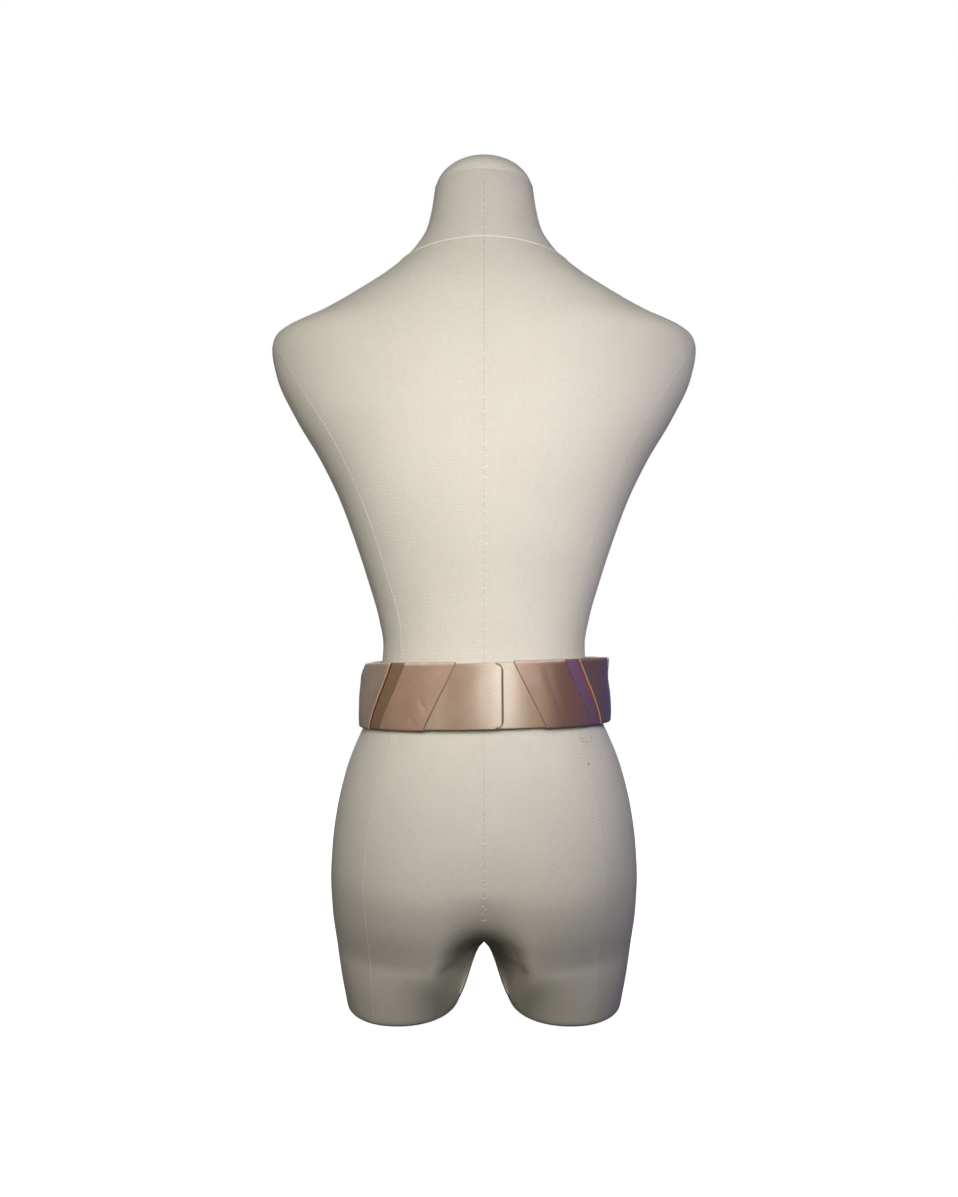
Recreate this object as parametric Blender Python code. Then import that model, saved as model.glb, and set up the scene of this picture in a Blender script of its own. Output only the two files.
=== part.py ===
"""A wide satin sash, closed at the centre back, on a headless linen dress form.

Millimetres in the tables, metres in the meshes. +Z is up, the form faces -Y, its back faces +Y
and +X is its own left side. The form stands on the flat undersides of its two thigh stubs.
"""

import collections
import math

import bmesh
import bpy
import numpy as np

MM = 0.001

# The sash as one tube: its height, its perimeter along the outer face of the stiffened band,
# and where it sits on the form.
SASH_HEIGHT = 66.0
SASH_BOTTOM = 287.0
SASH_ROLL = -0.022
SASH_SHIFT = -0.9
BAND_THICKNESS = 2.0
CLOTH = 1.2
STRIP_CLOTH = 1.0
LAYER_GAP = 0.35
SEAM_GAP = 0.35
LIP_HEIGHT = 12.0

# The two ends of the band, as distances along the sash from the centre back. Positive is to the
# form's left. The over-lap comes from the left and ends just past the centre.
OVERLAP_END = -17.4
UNDERLAP_END = 24.0
OVERLAP_STEP = BAND_THICKNESS + LAYER_GAP
OVERLAP_RISE_FROM = 84.0
OVERLAP_RISE_TO = 27.0
OVERLAP_CORNER_TOP = 8.5
OVERLAP_CORNER_BOTTOM = 7.5
OVERLAP_EDGE_SLIMS = (0.45, 0.85, 1.0, 1.0)

# Each seam leans by the same slant, nearer the centre back at the top. These are its distances
# from the centre back at half height, alike on both sides.
SLANT = 33.4
INNER_SEAM = 43.2
BLUSH_EDGE = 96.4
SIDE_FOLD = 114.2
FRONT_FOLD = 168.0
FACING_WIDTH = 1.8
FOLD_RIM = 0.8
FOLD_RIM_WIDTH = 4.0

# The plan of the sash at several heights above its bottom edge: an oval whose back and front
# halves have their own depths. The pinch near three quarters up is where the wraps pull in.
SashRow = collections.namedtuple("SashRow", "height half_width back front")
SASH_ROWS = [
    SashRow(0.0, 127.6, 96.2, 97.6),
    SashRow(12.0, 128.0, 96.6, 98.0),
    SashRow(30.0, 127.2, 96.4, 97.8),
    SashRow(48.0, 126.0, 96.0, 97.2),
    SashRow(66.0, 126.2, 95.8, 97.0),
]

# Soft shapes pressed into every layer alike: along is the distance from the centre back, lean is
# how far it moves along by the top edge, and depth is positive where the cloth goes in.
Hollow = collections.namedtuple("Hollow", "along lean height depth width tall")
HOLLOWS = [
    Hollow(172.0, 0.0, 68.0, 6.0, 30.0, 10.0),
    Hollow(-176.0, 0.0, 44.0, 1.2, 40.0, 16.0),
    Hollow(84.0, -14.0, 24.0, 0.6, 16.0, 20.0),
    Hollow(-62.0, 12.0, 30.0, 0.5, 14.0, 26.0),
    Hollow(262.0, -16.0, 34.0, 0.8, 26.0, 24.0),
    Hollow(-240.0, 14.0, 28.0, 0.7, 22.0, 24.0),
]

# The dress form, a row for each section: half its width, and how far its back and its front lie
# from the line of the shoulders. Roundness 2 is an ellipse, and more is squarer.
FormRow = collections.namedtuple("FormRow", "height half_width back front roundness")
FORM_ROWS = [
    FormRow(0.0, 138.6, 86.0, 86.0, 2.1),
    FormRow(36.0, 145.4, 94.0, 90.0, 2.15),
    FormRow(69.0, 150.4, 103.0, 93.0, 2.2),
    FormRow(102.0, 154.5, 113.0, 97.0, 2.25),
    FormRow(135.0, 156.0, 119.0, 101.0, 2.25),
    FormRow(168.0, 154.5, 116.0, 103.0, 2.2),
    FormRow(201.0, 150.4, 109.0, 104.0, 2.15),
    FormRow(234.0, 143.0, 101.0, 102.0, 2.1),
    FormRow(258.0, 135.2, 95.5, 99.0, 2.05),
    FormRow(275.0, 128.0, 91.5, 95.0, 2.0),
    FormRow(291.0, 120.9, 88.0, 91.5, 2.0),
    FormRow(320.0, 111.6, 81.0, 87.0, 2.0),
    FormRow(345.0, 105.4, 76.0, 84.0, 2.05),
    FormRow(368.0, 103.4, 74.0, 82.5, 2.1),
    FormRow(393.0, 107.4, 75.5, 83.0, 2.1),
    FormRow(435.0, 119.3, 82.0, 86.0, 2.15),
    FormRow(476.0, 132.7, 91.0, 92.0, 2.2),
    FormRow(517.0, 148.0, 99.0, 99.0, 2.25),
    FormRow(558.0, 168.2, 104.5, 104.0, 2.2),
    FormRow(599.0, 192.6, 106.5, 102.0, 2.1),
    FormRow(641.0, 212.2, 104.0, 90.0, 2.0),
    FormRow(670.0, 217.4, 98.5, 78.0, 2.0),
    FormRow(682.0, 214.4, 95.5, 74.0, 2.0),
    FormRow(689.0, 206.5, 93.0, 71.5, 2.0),
    FormRow(706.0, 169.4, 87.5, 67.0, 2.0),
    FormRow(726.0, 133.9, 80.5, 63.0, 2.0),
    FormRow(747.0, 100.9, 72.0, 59.5, 2.0),
    FormRow(770.0, 74.0, 61.5, 57.0, 2.0),
    FormRow(793.0, 59.2, 51.5, 56.0, 2.0),
    FormRow(816.0, 53.4, 45.0, 57.0, 2.0),
    FormRow(836.5, 50.4, 41.5, 57.5, 2.0),
]

# How the section below the hips turns from one body into two thighs: the inner side of the thigh,
# and how much of the depth the soft valley at the centre takes at the back and at the front.
ThighRow = collections.namedtuple("ThighRow", "height inner valley_back valley_front")
THIGH_ROWS = [
    ThighRow(0.0, 28.6, 0.0, 0.0),
    ThighRow(20.0, 19.2, 0.0, 0.0),
    ThighRow(36.0, 13.6, 0.0, 0.0),
    ThighRow(53.0, 7.6, 0.0, 0.0),
    ThighRow(60.0, 4.0, 0.0, 0.0),
    ThighRow(64.0, 0.0, 0.94, 0.64),
    ThighRow(73.0, 0.0, 0.66, 0.32),
    ThighRow(81.0, 0.0, 0.40, 0.17),
    ThighRow(91.0, 0.0, 0.20, 0.09),
    ThighRow(108.0, 0.0, 0.07, 0.03),
    ThighRow(136.0, 0.0, 0.0, 0.0),
]
CROTCH = 64.0
VALLEY_WIDTH = 46.0
THIGH_TURN = math.radians(152.0)
THIGH_DEPTH = 0.88
THIGH_EASE = 58.0
THIGH_HEIGHTS = (20.0, 36.0, 49.0, 58.0)
CROTCH_HEIGHTS = (64.0, 70.0, 78.0, 90.0)
BASE_EDGE_RADIUS = 5.0

# Soft fullness on the form: a plain bust at the front and the seat at the back, each as a pair.
Fullness = collections.namedtuple("Fullness", "side height reach width tall faces")
FULLNESS = [
    Fullness(70.0, 556.0, 21.9, 52.0, 54.0, -1.0),
    Fullness(78.0, 118.0, 6.0, 56.0, 52.0, 1.0),
]
FULLNESS_DEPTH = 60.0

RING_STEP = 20.0
QUARTER_STEPS = 10
THIGH_STEPS = 4
NECK_TILT = 0.12
NECK_TILT_FROM = 740.0
CAP_GAP = 0.3
CAP_DOME = 30.0
CAP_RINGS = 5

COLUMN_STEP = 12.5
WALL_STEPS = 5
FOLD_STEPS = 4
MEASURING_STEPS = 720
SHARP_EDGE = math.radians(35.0)


def clear_scene():
    for thing in list(bpy.data.objects):
        bpy.data.objects.remove(thing, do_unlink=True)


def finish(name, colour, roughness, sheen=0.0):
    """A Principled finish from an sRGB colour of 0 to 255."""
    material = bpy.data.materials.new(name)
    material.use_nodes = True
    shader = material.node_tree.nodes["Principled BSDF"]
    linear = [(channel / 255.0) ** 2.2 for channel in colour]
    shader.inputs["Base Color"].default_value = (*linear, 1.0)
    shader.inputs["Roughness"].default_value = roughness
    shader.inputs["Metallic"].default_value = 0.0
    shader.inputs["Sheen Weight"].default_value = sheen
    material.diffuse_color = (*linear, 1.0)
    return material


def eased(amount):
    """0 below 0, 1 above 1, and a soft S between."""
    held = np.clip(amount, 0.0, 1.0)
    return held * held * (3.0 - 2.0 * held)


def column_curve(rows, column):
    """A smooth curve through one column of a table, against height, with no overshoot."""
    at = np.array([row.height for row in rows])
    value = np.array([getattr(row, column) for row in rows])
    slope = np.diff(value) / np.diff(at)
    tangent = np.concatenate([[slope[0]], np.zeros(len(at) - 2), [slope[-1]]])
    for i in range(1, len(at) - 1):
        if slope[i - 1] * slope[i] > 0.0:
            tangent[i] = 2.0 * slope[i - 1] * slope[i] / (slope[i - 1] + slope[i])

    def read(height):
        i = int(np.clip(np.searchsorted(at, height) - 1, 0, len(at) - 2))
        span = at[i + 1] - at[i]
        t = min(max((height - at[i]) / span, 0.0), 1.0)
        start = value[i] * (2 * t**3 - 3 * t**2 + 1) + tangent[i] * span * (t**3 - 2 * t**2 + t)
        end = value[i + 1] * (3 * t**2 - 2 * t**3) + tangent[i + 1] * span * (t**3 - t**2)
        return float(start + end)

    return read


def solid_from(name, points, faces, material, weld=None):
    """An object from points in millimetres, its faces turned outwards and shaded smooth."""
    mesh = bmesh.new()
    verts = [mesh.verts.new([value * MM for value in point]) for point in points]
    for face in faces:
        mesh.faces.new([verts[i] for i in face])
    if weld:
        bmesh.ops.remove_doubles(mesh, verts=mesh.verts, dist=weld * MM)
    bmesh.ops.recalc_face_normals(mesh, faces=mesh.faces)
    data = bpy.data.meshes.new(name)
    mesh.to_mesh(data)
    mesh.free()
    data.materials.append(material)
    data.shade_smooth()
    data.set_sharp_from_angle(angle=SHARP_EDGE)
    thing = bpy.data.objects.new(name, data)
    bpy.context.scene.collection.objects.link(thing)
    return thing


# The dress form


form_column = {name: column_curve(FORM_ROWS, name) for name in FormRow._fields[1:]}
thigh_column = {name: column_curve(THIGH_ROWS, name) for name in ThighRow._fields[1:]}


def oval(angle, across, deep, roundness):
    """A point of a rounded quarter: angle 0 is at the side and 90 degrees at the deep end."""
    x = across * abs(math.cos(angle)) ** (2.0 / roundness) * math.copysign(1, math.cos(angle))
    y = deep * abs(math.sin(angle)) ** (2.0 / roundness)
    return x, y


def body_point(height, share):
    """A point on the form's left half above the thighs, share -1 front, 0 side and 1 back."""
    row = {name: read(height) for name, read in form_column.items()}
    faces = 1.0 if share >= 0.0 else -1.0
    deep = row["back"] if faces > 0.0 else row["front"]
    x, y = oval(abs(share) * math.pi / 2, row["half_width"], deep, row["roundness"])
    valley = thigh_column["valley_back" if faces > 0.0 else "valley_front"](height)
    y -= deep * valley * (1.0 - eased(x / VALLEY_WIDTH))
    return max(x, 0.0), faces * y


def thigh_oval(height, turn, inset):
    """A point on the left thigh stub, turn 0 at its outer side and half a turn at its inner."""
    outer = form_column["half_width"](height) - inset
    inner = thigh_column["inner"](height) + inset
    deep = THIGH_DEPTH * form_column["back" if turn >= 0.0 else "front"](height) - inset
    middle = (outer + inner) / 2
    x, y = oval(abs(turn), (outer - inner) / 2, deep, form_column["roundness"](height))
    return middle + x, math.copysign(y, turn)


def thigh_ring(height, inset, arc):
    """A closed section of the left thigh, which starts as half the body and ends as an oval."""
    oval_share = float(eased((CROTCH - height) / THIGH_EASE))
    outer, inner = form_column["half_width"](height), thigh_column["inner"](height)
    ring = []
    for share in np.linspace(-1.0, 1.0, arc):
        body_x, _ = body_point(height, share)
        _, body_y = body_point(max(height, CROTCH), share)
        body_x = inner + body_x * (outer - inner) / outer
        x, y = thigh_oval(height, share * THIGH_TURN, inset)
        ring.append((body_x + (x - body_x) * oval_share, body_y + (y - body_y) * oval_share))
    back, front = ring[-1], ring[0]
    for step in range(1, THIGH_STEPS):
        share = step / THIGH_STEPS
        turn = THIGH_TURN + (2 * math.pi - 2 * THIGH_TURN) * share
        x, y = thigh_oval(height, turn if turn <= math.pi else turn - 2 * math.pi, inset)
        line_y = back[1] + (front[1] - back[1]) * share
        ring.append((inner + (x - inner) * oval_share, line_y + (y - line_y) * oval_share))
    return ring


def swell(x, y, height):
    """The bust and the seat, eased into the sections."""
    for bump in FULLNESS:
        if y * bump.faces <= 0.0:
            continue
        across = math.exp(-(((x - bump.side) / bump.width) ** 2))
        across += math.exp(-(((x + bump.side) / bump.width) ** 2))
        up = math.exp(-(((height - bump.height) / bump.tall) ** 2))
        facing = eased(abs(y) / FULLNESS_DEPTH)
        y += bump.faces * bump.reach * across * up * facing
    return y


def neck_tilt(height, y):
    top = FORM_ROWS[-1].height
    return height + NECK_TILT * y * eased((height - NECK_TILT_FROM) / (top - NECK_TILT_FROM))


def body_heights():
    """Section heights above the thighs, evenly spaced along the outline from the crotch up."""
    fine = np.linspace(CROTCH_HEIGHTS[-1], FORM_ROWS[-1].height, MEASURING_STEPS)
    width = np.array([form_column["half_width"](height) for height in fine])
    run = np.concatenate([[0.0], np.cumsum(np.hypot(np.diff(fine), np.diff(width)))])
    even = np.interp(np.linspace(0.0, run[-1], round(run[-1] / RING_STEP) + 1), run, fine)
    return [*CROTCH_HEIGHTS[:-1], *even]


def thigh_heights():
    """Height and inset of each section of a thigh stub, from its flat underside up."""
    corner = [
        (BASE_EDGE_RADIUS * (1 - math.sin(turn)), BASE_EDGE_RADIUS * (1 - math.cos(turn)))
        for turn in (math.pi / 2, math.pi / 4, 0.0)
    ]
    return corner + [(height, 0.0) for height in THIGH_HEIGHTS]


def form_half(side):
    """Points and faces of one half, side 1 for the form's left and -1 for its right."""
    points, faces = [], []
    arc = 2 * QUARTER_STEPS + 1
    loop = arc + THIGH_STEPS - 1

    def add(x, y, z):
        points.append((side * x, y, z))
        return len(points) - 1

    previous = None
    for height, inset in thigh_heights():
        ring = [add(x, y, height) for x, y in thigh_ring(height, inset, arc)]
        if previous is None:
            faces.append(ring)
        else:
            for i in range(loop):
                j = (i + 1) % loop
                faces.append((previous[i], previous[j], ring[j], ring[i]))
        previous = ring
    shares = np.linspace(-1.0, 1.0, arc)
    for height in body_heights():
        outline = [body_point(height, share) for share in shares]
        ring = [add(x, swell(x, y, height), neck_tilt(height, y)) for x, y in outline]
        if height == CROTCH:
            front, back = points[ring[0]][1], points[ring[-1]][1]
            for step in range(1, THIGH_STEPS):
                middle = back + (front - back) * step / THIGH_STEPS
                ring.append(add(0.0, middle, height))
        span = loop if height == CROTCH else arc - 1
        for i in range(span):
            j = (i + 1) % len(ring)
            faces.append((previous[i], previous[j], ring[j], ring[i]))
        previous = ring[:arc]
    return points, faces, previous


def build_form(material):
    points, faces, tops = [], [], []
    for side in (1, -1):
        half_points, half_faces, top = form_half(side)
        start = len(points)
        points += half_points
        faces += [tuple(start + i for i in face) for face in half_faces]
        tops.append([start + i for i in top])
    left, right = tops
    faces.append(tuple(left + right[-2:0:-1]))
    return solid_from("form_body", points, faces, material, weld=0.01)


def build_neck_cap(material):
    """A shallow dome on the neck, parted from it by a thin joint along the cap seam."""
    top = FORM_ROWS[-1]
    centre = (top.back - top.front) / 2
    deep = (top.back + top.front) / 2
    count = 4 * QUARTER_STEPS
    points, faces = [], []
    for ring in range(CAP_RINGS):
        lift = ring / CAP_RINGS * math.pi / 2
        shrink = math.cos(lift)
        for i in range(count):
            turn = 2 * math.pi * i / count
            x = top.half_width * shrink * math.cos(turn)
            y = centre + deep * shrink * math.sin(turn)
            z = neck_tilt(top.height, y) + CAP_GAP + CAP_DOME * math.sin(lift)
            points.append((x, y, z))
    points.append((0.0, centre, neck_tilt(top.height, centre) + CAP_GAP + CAP_DOME))
    faces.append(tuple(reversed(range(count))))
    for ring in range(CAP_RINGS - 1):
        for i in range(count):
            j = (i + 1) % count
            low, high = ring * count, (ring + 1) * count
            faces.append((low + i, low + j, high + j, high + i))
    last = (CAP_RINGS - 1) * count
    for i in range(count):
        faces.append((last + i, last + (i + 1) % count, len(points) - 1))
    return solid_from("form_neck_cap", points, faces, material)


# The sash


sash_column = {name: column_curve(SASH_ROWS, name) for name in SashRow._fields[1:]}


def sash_oval(turn, height):
    """Plan point and outward normal, turn 0 at the centre back and a quarter at the left side."""
    width = sash_column["half_width"](height)
    deep = sash_column["back" if math.cos(turn) >= 0.0 else "front"](height)
    x, y = width * math.sin(turn), deep * math.cos(turn)
    out_x, out_y = math.sin(turn) / width, math.cos(turn) / deep
    size = math.hypot(out_x, out_y)
    return x, y, out_x / size, out_y / size


def measure_sash():
    """Turn against distance along the sash from the centre back, once round."""
    turns = np.linspace(0.0, 2 * math.pi, MEASURING_STEPS + 1)
    plan = np.array([sash_oval(turn, SASH_HEIGHT / 2)[:2] for turn in turns])
    run = np.concatenate([[0.0], np.cumsum(np.hypot(*np.diff(plan, axis=0).T))])
    return turns, run


sash_turns, sash_run = measure_sash()
SASH_GIRTH = float(sash_run[-1])


def overlap_shift(along):
    """How far the over-lap end stands out, so that it passes over the under-lap end."""
    rise = (OVERLAP_RISE_FROM - along) / (OVERLAP_RISE_FROM - OVERLAP_RISE_TO)
    return OVERLAP_STEP * float(eased(rise))


def hollow_depth(along, height):
    """The soft hollows at a place, read on the side of the sash that is nearer."""
    around = (along + SASH_GIRTH / 2) % SASH_GIRTH - SASH_GIRTH / 2
    depth = 0.0
    for hollow in HOLLOWS:
        middle = hollow.along + hollow.lean * (height - hollow.height) / SASH_HEIGHT
        across = math.exp(-(((around - middle) / hollow.width) ** 2))
        depth += hollow.depth * across * math.exp(-(((height - hollow.height) / hollow.tall) ** 2))
    return depth


def sash_point(along, height, out):
    """A point of the sash: along from the centre back, up from its bottom edge, and outwards."""
    turn = float(np.interp(along % SASH_GIRTH, sash_run, sash_turns))
    held = min(max(height, 0.0), SASH_HEIGHT)
    x, y, out_x, out_y = sash_oval(turn, held)
    out += overlap_shift(along) - hollow_depth(along, held)
    x += out_x * out + SASH_SHIFT
    y += out_y * out
    return x, y, SASH_BOTTOM + height + SASH_ROLL * x


def skin_faces(points, size):
    """Triangles of a closed sleeve of columns, each of the same size.

    Every patch is split from its lower corner on one column to its upper corner on the next, so
    that the facets of one layer lie parallel to those of the layer under it.
    """
    faces = []
    for low in range(0, len(points) - size, size):
        high = low + size
        for i in range(size):
            j = (i + 1) % size
            if points[low + j][2] > points[low + i][2]:
                faces += [(low + i, low + j, high + j), (low + i, high + j, high + i)]
            else:
                faces += [(low + i, low + j, high + i), (low + j, high + j, high + i)]
    return faces


def end_faces(start, size):
    """An end of a folded wall, closed by faces from its outer skin to its inner one."""
    faces = []
    for i in range(size // 2 - 1):
        faces.append((start + i, start + i + 1, start + size - 2 - i, start + size - 1 - i))
    return faces


def wall_path(bottom, top):
    """Centre line of a wrap in section: up the outside, folded over both edges of the band."""
    radius = BAND_THICKNESS / 2 + LAYER_GAP
    middle = -BAND_THICKNESS / 2
    path = [(bottom + LIP_HEIGHT, middle, -1.0, 0.0)]
    for step in range(FOLD_STEPS + 1):
        turn = math.pi * step / FOLD_STEPS
        path.append((bottom, middle, -math.cos(turn), -math.sin(turn)))
    for step in range(1, WALL_STEPS):
        path.append((bottom + (top - bottom) * step / WALL_STEPS, middle, 1.0, 0.0))
    for step in range(FOLD_STEPS + 1):
        turn = math.pi * step / FOLD_STEPS
        path.append((top, middle, math.cos(turn), math.sin(turn)))
    path.append((top - LIP_HEIGHT, middle, -1.0, 0.0))
    return path, radius


def slanted(column, height):
    """The distance along the sash of a slanted column at a height, upright at the two ends."""
    knees = (OVERLAP_END + OVERLAP_CORNER_TOP, INNER_SEAM, FRONT_FOLD)
    at = [*knees, SASH_GIRTH - FRONT_FOLD, SASH_GIRTH - INNER_SEAM, SASH_GIRTH - knees[0]]
    lean = float(np.interp(column, at, [0.0, -1.0, -1.0, 1.0, 1.0, 0.0]))
    up = min(max(height / SASH_HEIGHT, 0.0), 1.0)
    return column + SLANT * lean * (up - 0.5)


def columns(start, end):
    """Evenly spaced columns of one span, its two edges included."""
    return np.linspace(start, end, max(math.ceil((end - start) / COLUMN_STEP), 1) + 1)


def build_wrap(name, start, end, cloth, material, rims=(0.0, 0.0)):
    """A strip of cloth round the band, from the start column to the end column.

    rims is how much the cloth is thicker, as a rounded double fold, at its start and at its end.
    """
    bottom = BAND_THICKNESS / 2 + LAYER_GAP + CLOTH
    top = SASH_HEIGHT - bottom
    path, radius = wall_path(bottom, top)
    points = []
    for column in columns(start, end):
        rim = rims[0] * math.exp(-(((column - start) / FOLD_RIM_WIDTH) ** 2))
        rim += rims[1] * math.exp(-(((end - column) / FOLD_RIM_WIDTH) ** 2))
        outer, inner = [], []
        for height, middle, out, up in path:
            along = slanted(column, height)
            proud = rim * max(out, 0.0)
            for skin, reach in ((outer, radius + cloth + proud), (inner, radius)):
                skin.append(sash_point(along, height + up * reach, middle + out * reach))
        points += outer + inner[::-1]
    size = 2 * len(path)
    faces = skin_faces(points, size)
    faces += [face[::-1] for face in end_faces(0, size)]
    faces += end_faces(len(points) - size, size)
    return solid_from(name, points, faces, material)


def band_section(column, inset_bottom, inset_top, slim):
    """The stiffened band in section: two faces and two rounded edges."""
    half = BAND_THICKNESS / 2 * slim
    edge = BAND_THICKNESS / 2 + LAYER_GAP + CLOTH
    low, high = edge + inset_bottom, SASH_HEIGHT - edge - inset_top
    section = []
    for step in range(FOLD_STEPS + 1):
        turn = math.pi * step / FOLD_STEPS
        section.append((low - half * math.sin(turn), -half * math.cos(turn)))
    for step in range(1, WALL_STEPS):
        section.append((low + (high - low) * step / WALL_STEPS, half))
    for step in range(FOLD_STEPS + 1):
        turn = math.pi * step / FOLD_STEPS
        section.append((high + half * math.sin(turn), half * math.cos(turn)))
    for step in range(1, WALL_STEPS):
        section.append((high + (low - high) * step / WALL_STEPS, -half))
    middle = -BAND_THICKNESS / 2
    return [sash_point(slanted(column, up), up, middle + out) for up, out in section]


def side_spans():
    """Where each piece of the left side starts and ends, in order from the centre back."""
    room = FACING_WIDTH + 2 * SEAM_GAP
    edges = [INNER_SEAM, BLUSH_EDGE, SIDE_FOLD - room, SIDE_FOLD, FRONT_FOLD - room, FRONT_FOLD]
    return list(zip(edges, edges[1:]))


def build_band(material):
    """The satin-covered band, from the rounded over-lap end once round to the hidden end."""
    points = []
    largest = max(OVERLAP_CORNER_TOP, OVERLAP_CORNER_BOTTOM)
    for step, slim in enumerate(OVERLAP_EDGE_SLIMS):
        into = largest * (1.0 - math.cos(math.pi / 2 * step / len(OVERLAP_EDGE_SLIMS)))
        insets = []
        for corner in (OVERLAP_CORNER_BOTTOM, OVERLAP_CORNER_TOP):
            left = max(corner - into, 0.0)
            insets.append(corner - math.sqrt(corner * corner - left * left))
        points += band_section(OVERLAP_END + into, *insets, slim)
    left = side_spans()
    right = [(SASH_GIRTH - end, SASH_GIRTH - start) for start, end in reversed(left)]
    spans = [(OVERLAP_END + largest, INNER_SEAM), *left, (FRONT_FOLD, SASH_GIRTH - FRONT_FOLD)]
    spans += [*right, (SASH_GIRTH - INNER_SEAM, SASH_GIRTH + UNDERLAP_END)]
    stops = [column for start, end in spans for column in columns(start, end)[:-1]]
    for column in [*stops, spans[-1][1]]:
        points += band_section(column, 0.0, 0.0, 1.0)
    size = 2 * (FOLD_STEPS + WALL_STEPS)
    faces = skin_faces(points, size)
    faces.append(tuple(reversed(range(size))))
    faces.append(tuple(range(len(points) - size, len(points))))
    return solid_from("sash_band", points, faces, material)


def build_side(side, word, finishes):
    """The pieces between the end panel and the front wrap, on one side."""
    blush, strip, side_facing, side_wrap, front_facing = side_spans()

    def build(name, span, cloth, material, gaps=(0.0, 0.0), rim=0.0):
        start, end = span[0] + gaps[0], span[1] - gaps[1]
        rims = (rim, 0.0)
        if side < 0:
            start, end, rims = SASH_GIRTH - end, SASH_GIRTH - start, (0.0, rim)
        build_wrap(f"{name}_{word}", start, end, cloth, finishes[material], rims)

    build("blush_wrap", blush, CLOTH, "blush satin")
    build("inset_strip", strip, STRIP_CLOTH, f"matte {word}", (SEAM_GAP, 0.0))
    build("side_facing", side_facing, CLOTH, "copper facing", (SEAM_GAP, SEAM_GAP))
    build("side_wrap", side_wrap, CLOTH, "rose satin", rim=FOLD_RIM)
    build("front_facing", front_facing, CLOTH, "copper facing", (SEAM_GAP, SEAM_GAP))


def main():
    clear_scene()
    finishes = {
        "linen": finish("linen cover", (214, 208, 193), 0.95),
        "champagne satin": finish("champagne satin", (200, 176, 152), 0.32, 0.2),
        "blush satin": finish("blush satin", (172, 142, 122), 0.38, 0.2),
        "rose satin": finish("rose satin", (128, 106, 96), 0.42, 0.2),
        "matte left": finish("umber silk", (116, 90, 70), 0.6),
        "matte right": finish("plum silk", (100, 72, 94), 0.6),
        "copper facing": finish("copper facing", (150, 78, 32), 0.5),
    }
    build_form(finishes["linen"])
    build_neck_cap(finishes["linen"])
    build_band(finishes["champagne satin"])
    for side, word in ((1, "left"), (-1, "right")):
        build_side(side, word, finishes)
    front = (FRONT_FOLD, SASH_GIRTH - FRONT_FOLD)
    build_wrap("front_wrap", *front, CLOTH, finishes["rose satin"], (FOLD_RIM, FOLD_RIM))


main()
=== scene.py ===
# %% [markdown]
# # A wide satin sash, closed at the centre back of a dress form
# The solids of the part come in first, as a fixed frame at the real size. Everything made below is
# a finer skin over one of those solids, or sewing that lies on it. The sash is cut from slanted
# strips of satin, folded over a stiffened band, so its cloth is made as thin walls whose sections
# are swept round the waist.

import collections
import math

import bmesh
import bpy
import numpy as np
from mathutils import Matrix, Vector
from mathutils.bvhtree import BVHTree


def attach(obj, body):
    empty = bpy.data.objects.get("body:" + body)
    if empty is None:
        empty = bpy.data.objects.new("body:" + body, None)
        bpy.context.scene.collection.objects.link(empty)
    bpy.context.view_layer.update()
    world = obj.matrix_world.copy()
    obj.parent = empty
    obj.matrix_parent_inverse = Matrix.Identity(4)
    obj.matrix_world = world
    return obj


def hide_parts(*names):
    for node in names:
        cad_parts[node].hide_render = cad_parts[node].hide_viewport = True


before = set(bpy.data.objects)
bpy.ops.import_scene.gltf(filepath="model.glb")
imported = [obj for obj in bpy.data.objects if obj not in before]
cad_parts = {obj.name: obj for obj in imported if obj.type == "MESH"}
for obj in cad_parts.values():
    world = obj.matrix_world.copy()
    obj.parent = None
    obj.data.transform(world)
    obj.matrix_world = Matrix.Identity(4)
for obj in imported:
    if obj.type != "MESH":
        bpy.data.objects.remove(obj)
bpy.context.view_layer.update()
print("solids in the frame:", len(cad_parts))

# %% [markdown]
# ## Sizes
# All sizes are millimetres and are the same ones that the solids were made from, so a finer skin
# lands on the solid that it stands for. Meshes are in metres, so every point is multiplied by MM.

# %% Driving sizes of the sash
MM = 0.001

SASH_HEIGHT = 66.0
SASH_BOTTOM = 287.0
SASH_ROLL = -0.022
SASH_SHIFT = -0.9
BAND_THICKNESS = 2.0
CLOTH = 1.2
STRIP_CLOTH = 1.0
LAYER_GAP = 0.35
SEAM_GAP = 0.35
LIP_HEIGHT = 12.0

OVERLAP_END = -17.4
UNDERLAP_END = 24.0
OVERLAP_STEP = BAND_THICKNESS + LAYER_GAP
OVERLAP_RISE_FROM = 84.0
OVERLAP_RISE_TO = 27.0
OVERLAP_CORNER_TOP = 8.5
OVERLAP_CORNER_BOTTOM = 7.5

SLANT = 33.4
INNER_SEAM = 43.2
BLUSH_EDGE = 96.4
SIDE_FOLD = 114.2
FRONT_FOLD = 168.0
FACING_WIDTH = 1.8

SashRow = collections.namedtuple("SashRow", "height half_width back front")
SASH_ROWS = [
    SashRow(0.0, 127.6, 96.2, 97.6),
    SashRow(12.0, 128.0, 96.6, 98.0),
    SashRow(30.0, 127.2, 96.4, 97.8),
    SashRow(48.0, 126.0, 96.0, 97.2),
    SashRow(66.0, 126.2, 95.8, 97.0),
]
print("sash height", SASH_HEIGHT, "mm")

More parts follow.
